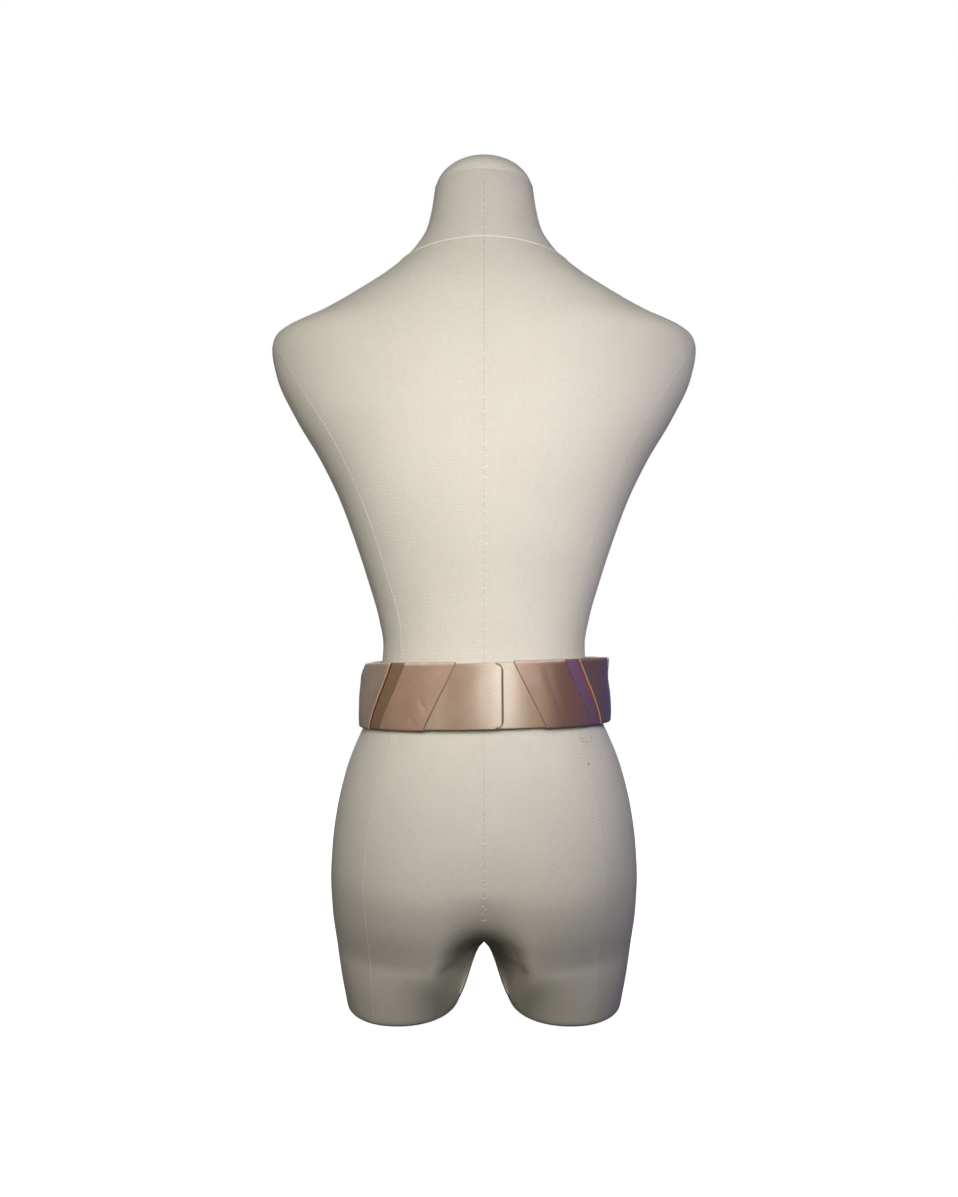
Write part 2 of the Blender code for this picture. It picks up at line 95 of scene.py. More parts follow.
# %% Driving sizes of the dress form
FormRow = collections.namedtuple("FormRow", "height half_width back front roundness")
FORM_ROWS = [
    FormRow(0.0, 138.6, 86.0, 86.0, 2.1),
    FormRow(36.0, 145.4, 94.0, 90.0, 2.15),
    FormRow(69.0, 150.4, 103.0, 93.0, 2.2),
    FormRow(102.0, 154.5, 113.0, 97.0, 2.25),
    FormRow(135.0, 156.0, 119.0, 101.0, 2.25),
    FormRow(168.0, 154.5, 116.0, 103.0, 2.2),
    FormRow(201.0, 150.4, 109.0, 104.0, 2.15),
    FormRow(234.0, 143.0, 101.0, 102.0, 2.1),
    FormRow(258.0, 135.2, 95.5, 99.0, 2.05),
    FormRow(275.0, 128.0, 91.5, 95.0, 2.0),
    FormRow(291.0, 120.9, 88.0, 91.5, 2.0),
    FormRow(320.0, 111.6, 81.0, 87.0, 2.0),
    FormRow(345.0, 105.4, 76.0, 84.0, 2.05),
    FormRow(368.0, 103.4, 74.0, 82.5, 2.1),
    FormRow(393.0, 107.4, 75.5, 83.0, 2.1),
    FormRow(435.0, 119.3, 82.0, 86.0, 2.15),
    FormRow(476.0, 132.7, 91.0, 92.0, 2.2),
    FormRow(517.0, 148.0, 99.0, 99.0, 2.25),
    FormRow(558.0, 168.2, 104.5, 104.0, 2.2),
    FormRow(599.0, 192.6, 106.5, 102.0, 2.1),
    FormRow(641.0, 212.2, 104.0, 90.0, 2.0),
    FormRow(670.0, 217.4, 98.5, 78.0, 2.0),
    FormRow(682.0, 214.4, 95.5, 74.0, 2.0),
    FormRow(689.0, 206.5, 93.0, 71.5, 2.0),
    FormRow(706.0, 169.4, 87.5, 67.0, 2.0),
    FormRow(726.0, 133.9, 80.5, 63.0, 2.0),
    FormRow(747.0, 100.9, 72.0, 59.5, 2.0),
    FormRow(770.0, 74.0, 61.5, 57.0, 2.0),
    FormRow(793.0, 59.2, 51.5, 56.0, 2.0),
    FormRow(816.0, 53.4, 45.0, 57.0, 2.0),
    FormRow(836.5, 50.4, 41.5, 57.5, 2.0),
]
ThighRow = collections.namedtuple("ThighRow", "height inner valley_back valley_front")
THIGH_ROWS = [
    ThighRow(0.0, 28.6, 0.0, 0.0),
    ThighRow(20.0, 19.2, 0.0, 0.0),
    ThighRow(36.0, 13.6, 0.0, 0.0),
    ThighRow(53.0, 7.6, 0.0, 0.0),
    ThighRow(60.0, 4.0, 0.0, 0.0),
    ThighRow(64.0, 0.0, 0.94, 0.64),
    ThighRow(73.0, 0.0, 0.66, 0.32),
    ThighRow(81.0, 0.0, 0.40, 0.17),
    ThighRow(91.0, 0.0, 0.20, 0.09),
    ThighRow(108.0, 0.0, 0.07, 0.03),
    ThighRow(136.0, 0.0, 0.0, 0.0),
]
Fullness = collections.namedtuple("Fullness", "side height reach width tall faces")
FULLNESS = [
    Fullness(70.0, 556.0, 21.9, 52.0, 54.0, -1.0),
    Fullness(78.0, 118.0, 6.0, 56.0, 52.0, 1.0),
]
FULLNESS_DEPTH = 60.0
CROTCH = 64.0
VALLEY_WIDTH = 46.0
THIGH_TURN = math.radians(152.0)
THIGH_DEPTH = 0.88
THIGH_EASE = 58.0
BASE_EDGE_RADIUS = 5.0
NECK_TILT = 0.12
NECK_TILT_FROM = 740.0
FORM_TOP = FORM_ROWS[-1].height
CAP_GAP = 0.3
CAP_DOME = 30.0
print("form height", FORM_TOP + CAP_GAP + CAP_DOME, "mm")


# %% Curves through the tables
def eased(amount):
    """0 below 0, 1 above 1, and a soft S between."""
    held = np.clip(amount, 0.0, 1.0)
    return held * held * (3.0 - 2.0 * held)


def column_curve(rows, column):
    """A smooth curve through one column of a table, against height, with no overshoot."""
    at = np.array([row.height for row in rows])
    value = np.array([getattr(row, column) for row in rows])
    slope = np.diff(value) / np.diff(at)
    tangent = np.concatenate([[slope[0]], np.zeros(len(at) - 2), [slope[-1]]])
    for i in range(1, len(at) - 1):
        if slope[i - 1] * slope[i] > 0.0:
            tangent[i] = 2.0 * slope[i - 1] * slope[i] / (slope[i - 1] + slope[i])

    def read(height):
        height = np.asarray(height, dtype=float)
        i = np.clip(np.searchsorted(at, height) - 1, 0, len(at) - 2)
        span = at[i + 1] - at[i]
        t = np.clip((height - at[i]) / span, 0.0, 1.0)
        start = value[i] * (2 * t**3 - 3 * t**2 + 1) + tangent[i] * span * (t**3 - 2 * t**2 + t)
        end = value[i + 1] * (3 * t**2 - 2 * t**3) + tangent[i + 1] * span * (t**3 - t**2)
        return start + end

    return read


sash_column = {name: column_curve(SASH_ROWS, name) for name in SashRow._fields[1:]}
form_column = {name: column_curve(FORM_ROWS, name) for name in FormRow._fields[1:]}
thigh_column = {name: column_curve(THIGH_ROWS, name) for name in ThighRow._fields[1:]}
print("waist of the form", round(float(form_column["half_width"](368.0)) * 2, 1), "mm across")

# %% [markdown]
# ## Camera
# The picture was taken from behind at the height of the sash, about 1.1 m away. Upright lines stay
# upright in it, so the camera is level and the lens is shifted up a little to frame the form. The
# frame is 958 by 1197 pixels, and 1100 pixels stand for the focal length, so the lens is worked out
# from that.

# %% The camera
PICTURE_HEIGHT_PX = 1197
FOCAL_PX = 1100.0
SENSOR_HEIGHT = 36.0
CAMERA_PLACE = Vector((0.0, 1.133, 0.373))
AXIS_RIGHT_OF_MIDDLE_PX = 5.0
HORIZON_BELOW_MIDDLE_PX = 41.5

camera_data = bpy.data.cameras.new("camera")
camera_data.sensor_fit = "VERTICAL"
camera_data.sensor_height = SENSOR_HEIGHT
camera_data.lens = SENSOR_HEIGHT * FOCAL_PX / PICTURE_HEIGHT_PX
camera_data.shift_x = -AXIS_RIGHT_OF_MIDDLE_PX / PICTURE_HEIGHT_PX
camera_data.shift_y = HORIZON_BELOW_MIDDLE_PX / PICTURE_HEIGHT_PX
camera = bpy.data.objects.new("camera", camera_data)
camera.location = CAMERA_PLACE
camera.rotation_euler = (math.radians(90.0), 0.0, math.radians(180.0))
bpy.context.scene.collection.objects.link(camera)
bpy.context.scene.camera = camera
print("lens", round(camera_data.lens, 2), "mm")

# %% [markdown]
# ## Colours and nodes
# Colours are written as the hex values that one would pick on a screen, and turned to the linear
# values that the shaders take. One helper adds a node and one fills a node's inputs, with plain
# values or with links. Where a whole node is given as an input, its first open output is linked,
# which keeps a chain of nodes short to write.

# %% Helpers for materials
# Two settings that come up in every cloth: a soft S between two values, and a mix of two colours.
SOFT_STEP = {"interpolation_type": "SMOOTHSTEP"}
OF_COLOURS = {"data_type": "RGBA"}


def linear(hex_colour):
    """The linear colour of an sRGB hex value such as C8B098."""
    channels = [int(hex_colour[i : i + 2], 16) / 255.0 for i in (0, 2, 4)]
    return (*[c / 12.92 if c <= 0.04045 else ((c + 0.055) / 1.055) ** 2.4 for c in channels], 1.0)


def feed(node, inputs):
    """Sets a node's inputs to plain values, or links other nodes or their sockets to them."""
    for socket, value in inputs.items():
        if isinstance(value, bpy.types.Node):
            value = next(output for output in value.outputs if output.enabled)
        if isinstance(value, bpy.types.NodeSocket):
            node.id_data.links.new(value, node.inputs[socket])
        else:
            node.inputs[socket].default_value = value


def add(tree, kind, inputs=None, **settings):
    """A new node: settings are its properties, and inputs are given as for feed."""
    node = tree.nodes.new(kind)
    for name, value in settings.items():
        setattr(node, name, value)
    feed(node, inputs or {})
    return node


def new_material(name):
    """A material that uses nodes, with its tree and its shader."""
    material = bpy.data.materials.new(name)
    material.use_nodes = True
    return material, material.node_tree, material.node_tree.nodes["Principled BSDF"]


print("linen white in linear light:", [round(c, 3) for c in linear("D6D0C1")[:3]])

# %% [markdown]
# ## Light and floor
# The photograph is brightest between the shoulder blades and falls off to the neck, the thighs and
# both sides. So the lights at the back are soft boxes with grids, which narrow their beams. Three
# of them stand a little to the picture's right of the camera: the key, one for the back and one
# for the hips. A narrow fourth one lights the sash alone and puts the upright band of shine on the
# satin where the photograph has it. A weaker box from the picture's left fills, and one from its
# right is lavender, for the violet edge. Two at the sides and one at the front are there for views
# of the other sides and hardly reach the back. The floor is a large pale sheet that fades into a
# white surround.

# %% Lights
Lamp = collections.namedtuple("Lamp", "name place looks_at width height beam watts colour")
LAMPS = [
    Lamp("key", (-0.22, 1.20, 0.80), (0.0, 0.08, 0.54), 0.60, 0.40, 80.0, 0.78, "FFFFFF"),
    Lamp("back", (-0.24, 1.25, 0.72), (0.0, 0.08, 0.63), 0.40, 0.40, 46.0, 0.76, "FFFFFF"),
    Lamp("hips", (-0.15, 1.15, 0.95), (0.0, 0.08, 0.21), 0.70, 0.30, 40.0, 0.41, "FFFFFF"),
    Lamp("shine", (-0.30, 1.22, 0.58), (0.0, 0.08, 0.325), 0.14, 0.30, 24.0, 0.036, "FFFFFF"),
    Lamp("left", (0.95, 1.00, 0.75), (0.0, 0.0, 0.50), 0.60, 0.60, 90.0, 1.20, "FFFBF4"),
    Lamp("lavender", (-1.30, 0.10, 0.50), (-0.1, 0.0, 0.36), 0.70, 1.00, 120.0, 0.75, "8478FF"),
    Lamp("side", (1.70, -1.30, 0.80), (0.0, 0.0, 0.42), 0.80, 0.80, 180.0, 2.5, "FFFFFF"),
    Lamp("far side", (-1.70, -1.30, 0.80), (0.0, 0.0, 0.42), 0.80, 0.80, 180.0, 1.0, "FFFFFF"),
    Lamp("front", (0.25, -1.70, 1.10), (0.0, 0.0, 0.40), 1.10, 1.10, 180.0, 27.0, "FFFFFF"),
]
for lamp in LAMPS:
    light = bpy.data.lights.new(lamp.name, "AREA")
    light.shape = "RECTANGLE"
    light.size, light.size_y = lamp.width, lamp.height
    light.energy = lamp.watts
    light.spread = math.radians(lamp.beam)
    light.color = linear(lamp.colour)[:3]
    holder = bpy.data.objects.new(lamp.name, light)
    holder.location = lamp.place
    way = Vector(lamp.looks_at) - Vector(lamp.place)
    holder.rotation_euler = way.to_track_quat("-Z", "Y").to_euler()
    bpy.context.scene.collection.objects.link(holder)
print("lights:", [lamp.name for lamp in LAMPS])

# %% White surround and pale floor
SURROUND_LIGHT = 0.02
WHITE = (1.0, 1.0, 1.0, 1.0)
FLOOR_HALF = 12.0
FLOOR_BELOW = 0.0005
FLOOR_GLOW_NEAR = 0.93
FLOOR_GLOW_FAR = 1.0
FLOOR_FADES_FROM = 0.25
FLOOR_FADES_TO = 1.2

world = bpy.data.worlds.new("white surround")
world.use_nodes = True
sky = world.node_tree
sky.nodes.clear()
seen = add(sky, "ShaderNodeLightPath").outputs["Is Camera Ray"]
strength = add(sky, "ShaderNodeMapRange", {"Value": seen, "To Min": SURROUND_LIGHT, "To Max": 1.0})
white = add(sky, "ShaderNodeBackground", {"Color": WHITE, "Strength": strength})
add(sky, "ShaderNodeOutputWorld", {"Surface": white})
bpy.context.scene.world = world
bpy.context.scene.view_settings.view_transform = "Standard"

paint, paint_tree, paint_shader = new_material("matt white painted floor")
place = add(paint_tree, "ShaderNodeTexCoord").outputs["Object"]
reach = add(paint_tree, "ShaderNodeVectorMath", {0: place}, operation="LENGTH")
fade = {"From Min": FLOOR_FADES_FROM, "From Max": FLOOR_FADES_TO}
fade |= {"Value": reach, "To Min": FLOOR_GLOW_NEAR, "To Max": FLOOR_GLOW_FAR}
feed(
    paint_shader,
    {
        "Base Color": linear("9A9A98"),
        "Roughness": 0.9,
        "Emission Color": WHITE,
        "Emission Strength": add(paint_tree, "ShaderNodeMapRange", fade, **SOFT_STEP),
    },
)

floor_mesh = bpy.data.meshes.new("floor")
corners = [(-1, -1), (1, -1), (1, 1), (-1, 1)]
floor_points = [(x * FLOOR_HALF, y * FLOOR_HALF, -FLOOR_BELOW) for x, y in corners]
floor_mesh.from_pydata(floor_points, [], [(0, 1, 2, 3)])
floor_mesh.materials.append(paint)
floor = bpy.data.objects.new("floor", floor_mesh)
floor.visible_diffuse = False
floor.visible_glossy = False
bpy.context.scene.collection.objects.link(floor)
print("floor", 2 * FLOOR_HALF, "m square")

# %% [markdown]
# ## Making a mesh from a grid
# Every cloth wall and the form's skin are rows of points joined by four-sided faces. The helper
# takes the points in millimetres, with a flat place on the cloth for each (u along, v up, in
# metres), so that a weave can follow the cloth however it turns.


# %% Mesh helper
def mesh_object(name, points, faces, flat_places, material, sharp=None, marks=None):
    """A smooth-shaded object from points in millimetres and their flat places in metres.

    marks are values from 0 to 1 for each point, by name, which the material reads: a painted
    highlight that makes folded edges pale, and a painted shadow that makes edges and seams dark.
    """
    data = bpy.data.meshes.new(name)
    data.from_pydata((np.asarray(points) * MM).tolist(), [], faces)
    data.validate()
    layer = data.uv_layers.new(name="cloth")
    index = np.empty(len(data.loops), dtype=np.int32)
    data.loops.foreach_get("vertex_index", index)
    layer.data.foreach_set("uv", np.asarray(flat_places, dtype=np.float32)[index].ravel())
    for mark, values in (marks or {}).items():
        held = data.attributes.new(mark, "FLOAT", "POINT")
        held.data.foreach_set("value", np.asarray(values, dtype=np.float32))
    data.materials.append(material)
    data.shade_smooth()
    if sharp:
        data.set_sharp_from_angle(angle=math.radians(sharp))
    thing = bpy.data.objects.new(name, data)
    bpy.context.scene.collection.objects.link(thing)
    return thing


def merged(thing, distance):
    """Joins points that coincide and turns the faces outwards."""
    mesh = bmesh.new()
    mesh.from_mesh(thing.data)
    bmesh.ops.remove_doubles(mesh, verts=mesh.verts, dist=distance * MM)
    bmesh.ops.recalc_face_normals(mesh, faces=mesh.faces)
    mesh.to_mesh(thing.data)
    mesh.free()


def join_part(thing, node=None):
    """Puts a piece on the root body, and hides the solid that it stands for, if it stands for one.
    """
    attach(thing, "root")
    if node:
        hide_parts(node)


print("mesh helpers ready")

# %% [markdown]
# ## Linen cover of the dress form
# The form is covered in unbleached linen, a plain weave in pale grey-cream yarn. It has no shine:
# what shows is the grain of the yarn and soft clouds of slightly different tone. The real threads
# are about 0.6 mm apart, which is finer than a pixel of the picture, so the weave is drawn at
# 1.3 mm. A cloud is about 70 mm across, a grain 1.2 mm, and the thicker yarns (slubs) are streaks
# of 7 by 1 mm. The side panels are cut from a slightly greyer length.

# %% Linen
LINEN_THREAD = 1.3
SIDE_PANEL_SHARE = 0.10
SIDE_PANEL_FADE = 0.8
CLOUDS_PER_METRE = 14.0
GRAINS_PER_METRE = 820.0
SLUBS_PER_METRE = (150.0, 900.0, 1.0)
# How much the clouds, the fine grain and the slubs each move the tone.
TONE_SHARES = (0.25, 0.45, 0.30)
# The distance that a wave texture of scale 1 takes to repeat.
WAVE_PERIOD = 0.31416


def linen(name, base_hex, deep_hex, thread=LINEN_THREAD, side_hex="B4AFA6"):
    """Plain-woven linen: matt, with slubs, soft clouds of tone and a weave that follows the cloth.

    side_hex is what the side panels lean to.
    """
    material, tree, shader = new_material(name)
    base, deep, side = map(linear, (base_hex, deep_hex, side_hex))
    flat = add(tree, "ShaderNodeUVMap", uv_map="cloth")
    place = add(tree, "ShaderNodeTexCoord").outputs["Object"]
    yarns = {"Vector": flat, "Scale": WAVE_PERIOD / (thread * MM), "Distortion": 0.6, "Detail": 1.0}
    warp, weft = (
        add(tree, "ShaderNodeTexWave", yarns, bands_direction=way).outputs["Fac"] for way in "XY"
    )
    weave = add(tree, "ShaderNodeMath", {0: warp, 1: weft})
    stretched = add(tree, "ShaderNodeMapping", {"Vector": flat, "Scale": SLUBS_PER_METRE})
    slubs = add(tree, "ShaderNodeTexNoise", {"Vector": stretched, "Scale": 1.0})
    clouds, grain = (
        add(tree, "ShaderNodeTexNoise", {"Vector": place, "Scale": scale, "Detail": 3.0})
        for scale in (CLOUDS_PER_METRE, GRAINS_PER_METRE)
    )
    tone = 0.0
    for part, share in zip((clouds, grain, slubs), TONE_SHARES):
        tone = add(tree, "ShaderNodeMath", {0: part, 1: share, 2: tone}, operation="MULTIPLY_ADD")
    span = {"Value": tone, "From Min": 0.3, "From Max": 0.7}
    share = add(tree, "ShaderNodeMapRange", span, **SOFT_STEP)
    colour = add(tree, "ShaderNodeMix", {"Factor": share, "A": deep, "B": base}, **OF_COLOURS)
    beyond = add(tree, "ShaderNodeAttribute", attribute_name="side_panel").outputs["Fac"]
    span = {"Value": beyond, "From Max": SIDE_PANEL_FADE, "To Max": SIDE_PANEL_SHARE}
    share = add(tree, "ShaderNodeMapRange", span, **SOFT_STEP)
    colour = add(tree, "ShaderNodeMix", {"Factor": share, "A": colour, "B": side}, **OF_COLOURS)
    relief = add(tree, "ShaderNodeMath", {0: weave, 1: slubs})
    relief = add(tree, "ShaderNodeMath", {0: relief, 1: grain})
    relief = {"Height": relief, "Strength": 0.5, "Distance": 0.00016}
    feed(
        shader,
        {
            "Base Color": colour,
            "Normal": add(tree, "ShaderNodeBump", relief),
            "Roughness": 0.92,
            "Specular IOR Level": 0.2,
            "Sheen Weight": 0.08,
            "Sheen Roughness": 0.5,
        },
    )
    return material


form_linen = linen("unbleached linen cover", "DCD6C8", "D0CABB")
cap_linen = linen("unbleached linen neck cap", "E8E3D5", "DDD7C8")
# The seam edges are painted paler than the cover, a highlight on their raised welts and ticks.
seam_linen = linen("linen seam edge painted pale", "F0EBDC", "DCD5C4")
closed_linen = linen("linen drawn in at the closed seam", "C9C2B2", "BDB6A6")
thread_linen = linen("grey-cream sewing thread", "B4AC9A", "978F80", thread=0.5)
print("linen thread drawn every", LINEN_THREAD, "mm")

# %% [markdown]
# ## The dress form's skin
# The form is a stack of rounded sections. Below the crotch each half closes into a thigh of its
# own. It could be made by subdividing the coarse solid, but that would shrink it. Here the same
# formulas are read at many more heights and angles, so the skin is smooth and keeps its size. The
# two halves are made alike, mirrored and joined down the centre.


# %% Sections of the form
def oval(angle, across, deep, roundness):
    """A rounded quarter: angle 0 is at the side and 90 degrees at the deep end."""
    power = 2.0 / roundness
    x = across * np.abs(np.cos(angle)) ** power * np.sign(np.cos(angle))
    return x, deep * np.abs(np.sin(angle)) ** power


def body_section(height, share):
    """Points of the left half above the thighs, share -1 front, 0 side and 1 back."""
    back = share >= 0.0
    deep = np.where(back, form_column["back"](height), form_column["front"](height))
    across, roundness = form_column["half_width"](height), form_column["roundness"](height)
    x, y = oval(np.abs(share) * math.pi / 2, across, deep, roundness)
    valley_back, valley_front = (thigh_column[f"valley_{way}"](height) for way in ("back", "front"))
    y = y - deep * np.where(back, valley_back, valley_front) * (1.0 - eased(x / VALLEY_WIDTH))
    return np.maximum(x, 0.0), np.where(back, y, -y)


def thigh_section(height, turn, inset):
    """Points on the left thigh, turn 0 at its outer side and half a turn at its inner."""
    outer = form_column["half_width"](height) - inset
    inner = thigh_column["inner"](height) + inset
    back, front = form_column["back"](height), form_column["front"](height)
    deep = THIGH_DEPTH * np.where(turn >= 0.0, back, front) - inset
    x, y = oval(np.abs(turn), (outer - inner) / 2, deep, form_column["roundness"](height))
    return (outer + inner) / 2 + x, np.copysign(y, turn)


def thigh_ring(height, inset, arc, inner_steps):
    """A closed section of the left thigh, which starts as half the body and ends as an oval."""
    oval_share = float(eased((CROTCH - height) / THIGH_EASE))
    outer, inner = float(form_column["half_width"](height)), float(thigh_column["inner"](height))
    share = np.linspace(-1.0, 1.0, arc)
    body_x, _ = body_section(height, share)
    _, body_y = body_section(max(height, CROTCH), share)
    body_x = inner + body_x * (outer - inner) / outer
    x, y = thigh_section(height, share * THIGH_TURN, inset)
    ring_x = body_x + (x - body_x) * oval_share
    ring_y = body_y + (y - body_y) * oval_share
    step = np.arange(1, inner_steps) / inner_steps
    turn = THIGH_TURN + (2 * math.pi - 2 * THIGH_TURN) * step
    turn = np.where(turn <= math.pi, turn, turn - 2 * math.pi)
    x, y = thigh_section(height, turn, inset)
    line_y = ring_y[-1] + (ring_y[0] - ring_y[-1]) * step
    back_x = inner + (x - inner) * oval_share
    back_y = line_y + (y - line_y) * oval_share
    return np.concatenate([ring_x, back_x]), np.concatenate([ring_y, back_y])


def swell(x, y, height):
    """The bust and the seat, eased into the sections."""
    for bump in FULLNESS:
        across = np.exp(-(((x - bump.side) / bump.width) ** 2))
        across = across + np.exp(-(((x + bump.side) / bump.width) ** 2))
        up = np.exp(-(((height - bump.height) / bump.tall) ** 2))
        reach = bump.reach * across * up * eased(np.abs(y) / FULLNESS_DEPTH)
        y = np.where(y * bump.faces > 0.0, y + bump.faces * reach, y)
    return y


def neck_tilt(height, y):
    return height + NECK_TILT * y * eased((height - NECK_TILT_FROM) / (FORM_TOP - NECK_TILT_FROM))


print("sections ready")

# %% The form's skin
FORM_STEP = 5.0
QUARTER_STEPS = 44
INNER_STEPS = 14
CORNER_STEPS = 5
MEASURING_STEPS = 2000
# The linen is pressed in by this much under the sash, and comes out again over this height.
SASH_PRESS = 0.5
SASH_PRESS_FADE = 6.0


def sash_press(height, x):
    """How far the cover is squeezed in where the sash lies on it."""
    off = np.abs(height - (SASH_BOTTOM + SASH_ROLL * x + SASH_HEIGHT / 2))
    return SASH_PRESS * eased((SASH_HEIGHT / 2 + SASH_PRESS_FADE / 2 - off) / SASH_PRESS_FADE)


def skin_heights():
    """Heights above the thighs, evenly spaced along the outline."""
    fine = np.linspace(CROTCH, FORM_TOP, MEASURING_STEPS)
    width = form_column["half_width"](fine)
    run = np.concatenate([[0.0], np.cumsum(np.hypot(np.diff(fine), np.diff(width)))])
    count = round(run[-1] / FORM_STEP) + 1
    return np.interp(np.linspace(0.0, run[-1], count), run, fine)


def corner_heights():
    """Height and inset up the rounded edge of a thigh's flat underside, and on to the crotch."""
    turns = np.linspace(math.pi / 2, 0.0, CORNER_STEPS)
    radius = BASE_EDGE_RADIUS
    corner = [(radius * (1 - math.sin(turn)), radius * (1 - math.cos(turn))) for turn in turns]
    rest = np.linspace(radius, CROTCH, round((CROTCH - radius) / FORM_STEP) + 1)[1:-1]
    return corner + [(float(height), 0.0) for height in rest]


def form_half(side):
    """Points, faces and flat places of one half, side 1 for the form's left and -1 its right."""
    points, faces, flats = [], [], []
    arc = 2 * QUARTER_STEPS + 1
    loop = arc + INNER_STEPS - 1

    def add_ring(x, y, z):
        start = len(points)
        lengths = np.hypot(np.diff(x), np.diff(y))
        run = np.concatenate([[0.0], np.cumsum(lengths)])
        along = side * (run[min(arc, len(run)) - 1] - run) * MM
        points.extend(zip(side * x, y, z))
        flats.extend(zip(along, z * MM))
        return list(range(start, start + len(x)))

    previous = None
    for height, inset in corner_heights():
        x, y = thigh_ring(height, inset, arc, INNER_STEPS)
        ring = add_ring(x, y, np.full(len(x), height))
        if previous is None:
            centre = len(points)
            points.append((side * float(np.mean(x)), float(np.mean(y)), height))
            flats.append((side * float(np.mean(x)) * MM, float(np.mean(y)) * MM))
            faces += [(ring[(i + 1) % loop], ring[i], centre) for i in range(loop)]
        else:
            for i in range(loop):
                j = (i + 1) % loop
                faces.append((previous[i], previous[j], ring[j], ring[i]))
        previous = ring
    share = np.linspace(-1.0, 1.0, arc)
    for height in skin_heights():
        x, y = body_section(height, share)
        y = swell(x, y, height)
        press = sash_press(height, side * x)
        size = np.maximum(np.hypot(x, y), 1.0)
        x, y = x - press * x / size, y - press * y / size
        z = neck_tilt(np.full(arc, height), y)
        if height == CROTCH:
            line = np.arange(1, INNER_STEPS) / INNER_STEPS
            x = np.concatenate([x, np.zeros(INNER_STEPS - 1)])
            y = np.concatenate([y, y[-1] + (y[0] - y[-1]) * line])
            z = np.full(len(x), height)
        ring = add_ring(x, y, z)
        span = loop if height == CROTCH else arc - 1
        for i in range(span):
            j = (i + 1) % len(ring)
            faces.append((previous[i], previous[j], ring[j], ring[i]))
        previous = ring[:arc]
    return points, faces, flats, previous


form_points, form_faces, form_flats, form_tops = [], [], [], []
for side in (1, -1):
    half_points, half_faces, half_flats, top = form_half(side)
    start = len(form_points)
    form_points += half_points
    form_flats += half_flats
    form_faces += [tuple(start + i for i in face) for face in half_faces]
    form_tops.append([start + i for i in top])
top_left, top_right = form_tops
form_faces.append(tuple(top_left + top_right[-2:0:-1]))
SHARP_EDGE = 50.0
form = mesh_object(
    "form_cover", form_points, form_faces, form_flats, form_linen, sharp=SHARP_EDGE
)
merged(form, 0.01)
form.data.shade_smooth()
form.data.set_sharp_from_angle(angle=math.radians(SHARP_EDGE))
join_part(form, "form_body")
print("form cover:", len(form.data.polygons), "faces")

# %% The neck cap
CAP_TURNS = 96
CAP_RINGS = 16


def build_cap():
    """A shallow covered dome on the neck."""
    row = FORM_ROWS[-1]
    middle, deep = (row.back - row.front) / 2, (row.back + row.front) / 2
    points, flats, faces = [], [], []
    for ring in range(CAP_RINGS):
        lift = ring / CAP_RINGS * math.pi / 2
        for i in range(CAP_TURNS):
            turn = 2 * math.pi * i / CAP_TURNS
            x = row.half_width * math.cos(lift) * math.cos(turn)
            y = middle + deep * math.cos(lift) * math.sin(turn)
            base = float(neck_tilt(row.height, y))
            points.append((x, y, base + CAP_GAP + CAP_DOME * math.sin(lift)))
            flats.append((x * MM, y * MM))
    points.append((0.0, middle, float(neck_tilt(row.height, middle)) + CAP_GAP + CAP_DOME))
    flats.append((0.0, middle * MM))
    faces.append(tuple(reversed(range(CAP_TURNS))))
    for ring in range(CAP_RINGS - 1):
        for i in range(CAP_TURNS):
            j = (i + 1) % CAP_TURNS
            low, high = ring * CAP_TURNS, (ring + 1) * CAP_TURNS
            faces.append((low + i, low + j, high + j, high + i))
    last = (CAP_RINGS - 1) * CAP_TURNS
    for i in range(CAP_TURNS):
        faces.append((last + i, last + (i + 1) % CAP_TURNS, len(points) - 1))
    return mesh_object("form_cap", points, faces, flats, cap_linen, sharp=SHARP_EDGE)


cap = build_cap()
join_part(cap, "form_neck_cap")
print("neck cap:", len(cap.data.polygons), "faces")

# %% [markdown]
# ## Seams of the cover
# The linen is cut in long panels. Their seams run down the centre back, from the shoulder tips
# over the shoulder blades, waist and hips, and round the neck. On the real form a seam is a fine
# raised edge with small stitches beside it. A seam is given as a few places (height and distance
# from the centre), a smooth curve is run through them, and rays find the skin under it. Geometry
# Nodes then sweep a thin welt along each path and set stitches beside it.

# %% Finding the skin
FAR = 0.6
SEAM_STEP = 3.0
NECK_STEPS = 160
CAP_SEAM_STEPS = 120

form_tree = BVHTree.FromObject(form, bpy.context.evaluated_depsgraph_get())
SeamRow = collections.namedtuple("SeamRow", "height across")


def on_form(start, way):
    """The skin's place and outward normal where a ray meets it, in metres."""
    place, normal, _, _ = form_tree.ray_cast(Vector(start), Vector(way).normalized(), 2 * FAR)
    return None if place is None else (place, normal)


def seam_table(rows):
    """A seam's rows, given as (height, distance from the centre), from the lowest up."""
    return [SeamRow(*row) for row in sorted(rows)]


def panel_seam(rows, side, faces):
    """A path along a panel seam on one side, and on the back (faces 1) or the front (-1)."""
    table = seam_table(rows)
    across = column_curve(table, "across")
    path = []
    for height in np.arange(table[0].height, table[-1].height, SEAM_STEP):
        x = side * float(across(height)) * MM
        path.append(on_form((x, faces * FAR, height * MM), (0.0, -faces, 0.0)))
    return [spot for spot in path if spot]


def ring_seam(height_at):
    """A closed path round the neck: height_at gives its height for a turn from the centre back."""
    path = []
    for turn in np.linspace(0.0, 2 * math.pi, NECK_STEPS + 1):
        way = Vector((math.sin(turn), math.cos(turn), 0.0))
        path.append(on_form(way * FAR + Vector((0.0, 0.0, height_at(turn) * MM)), -way))
    return [spot for spot in path if spot]


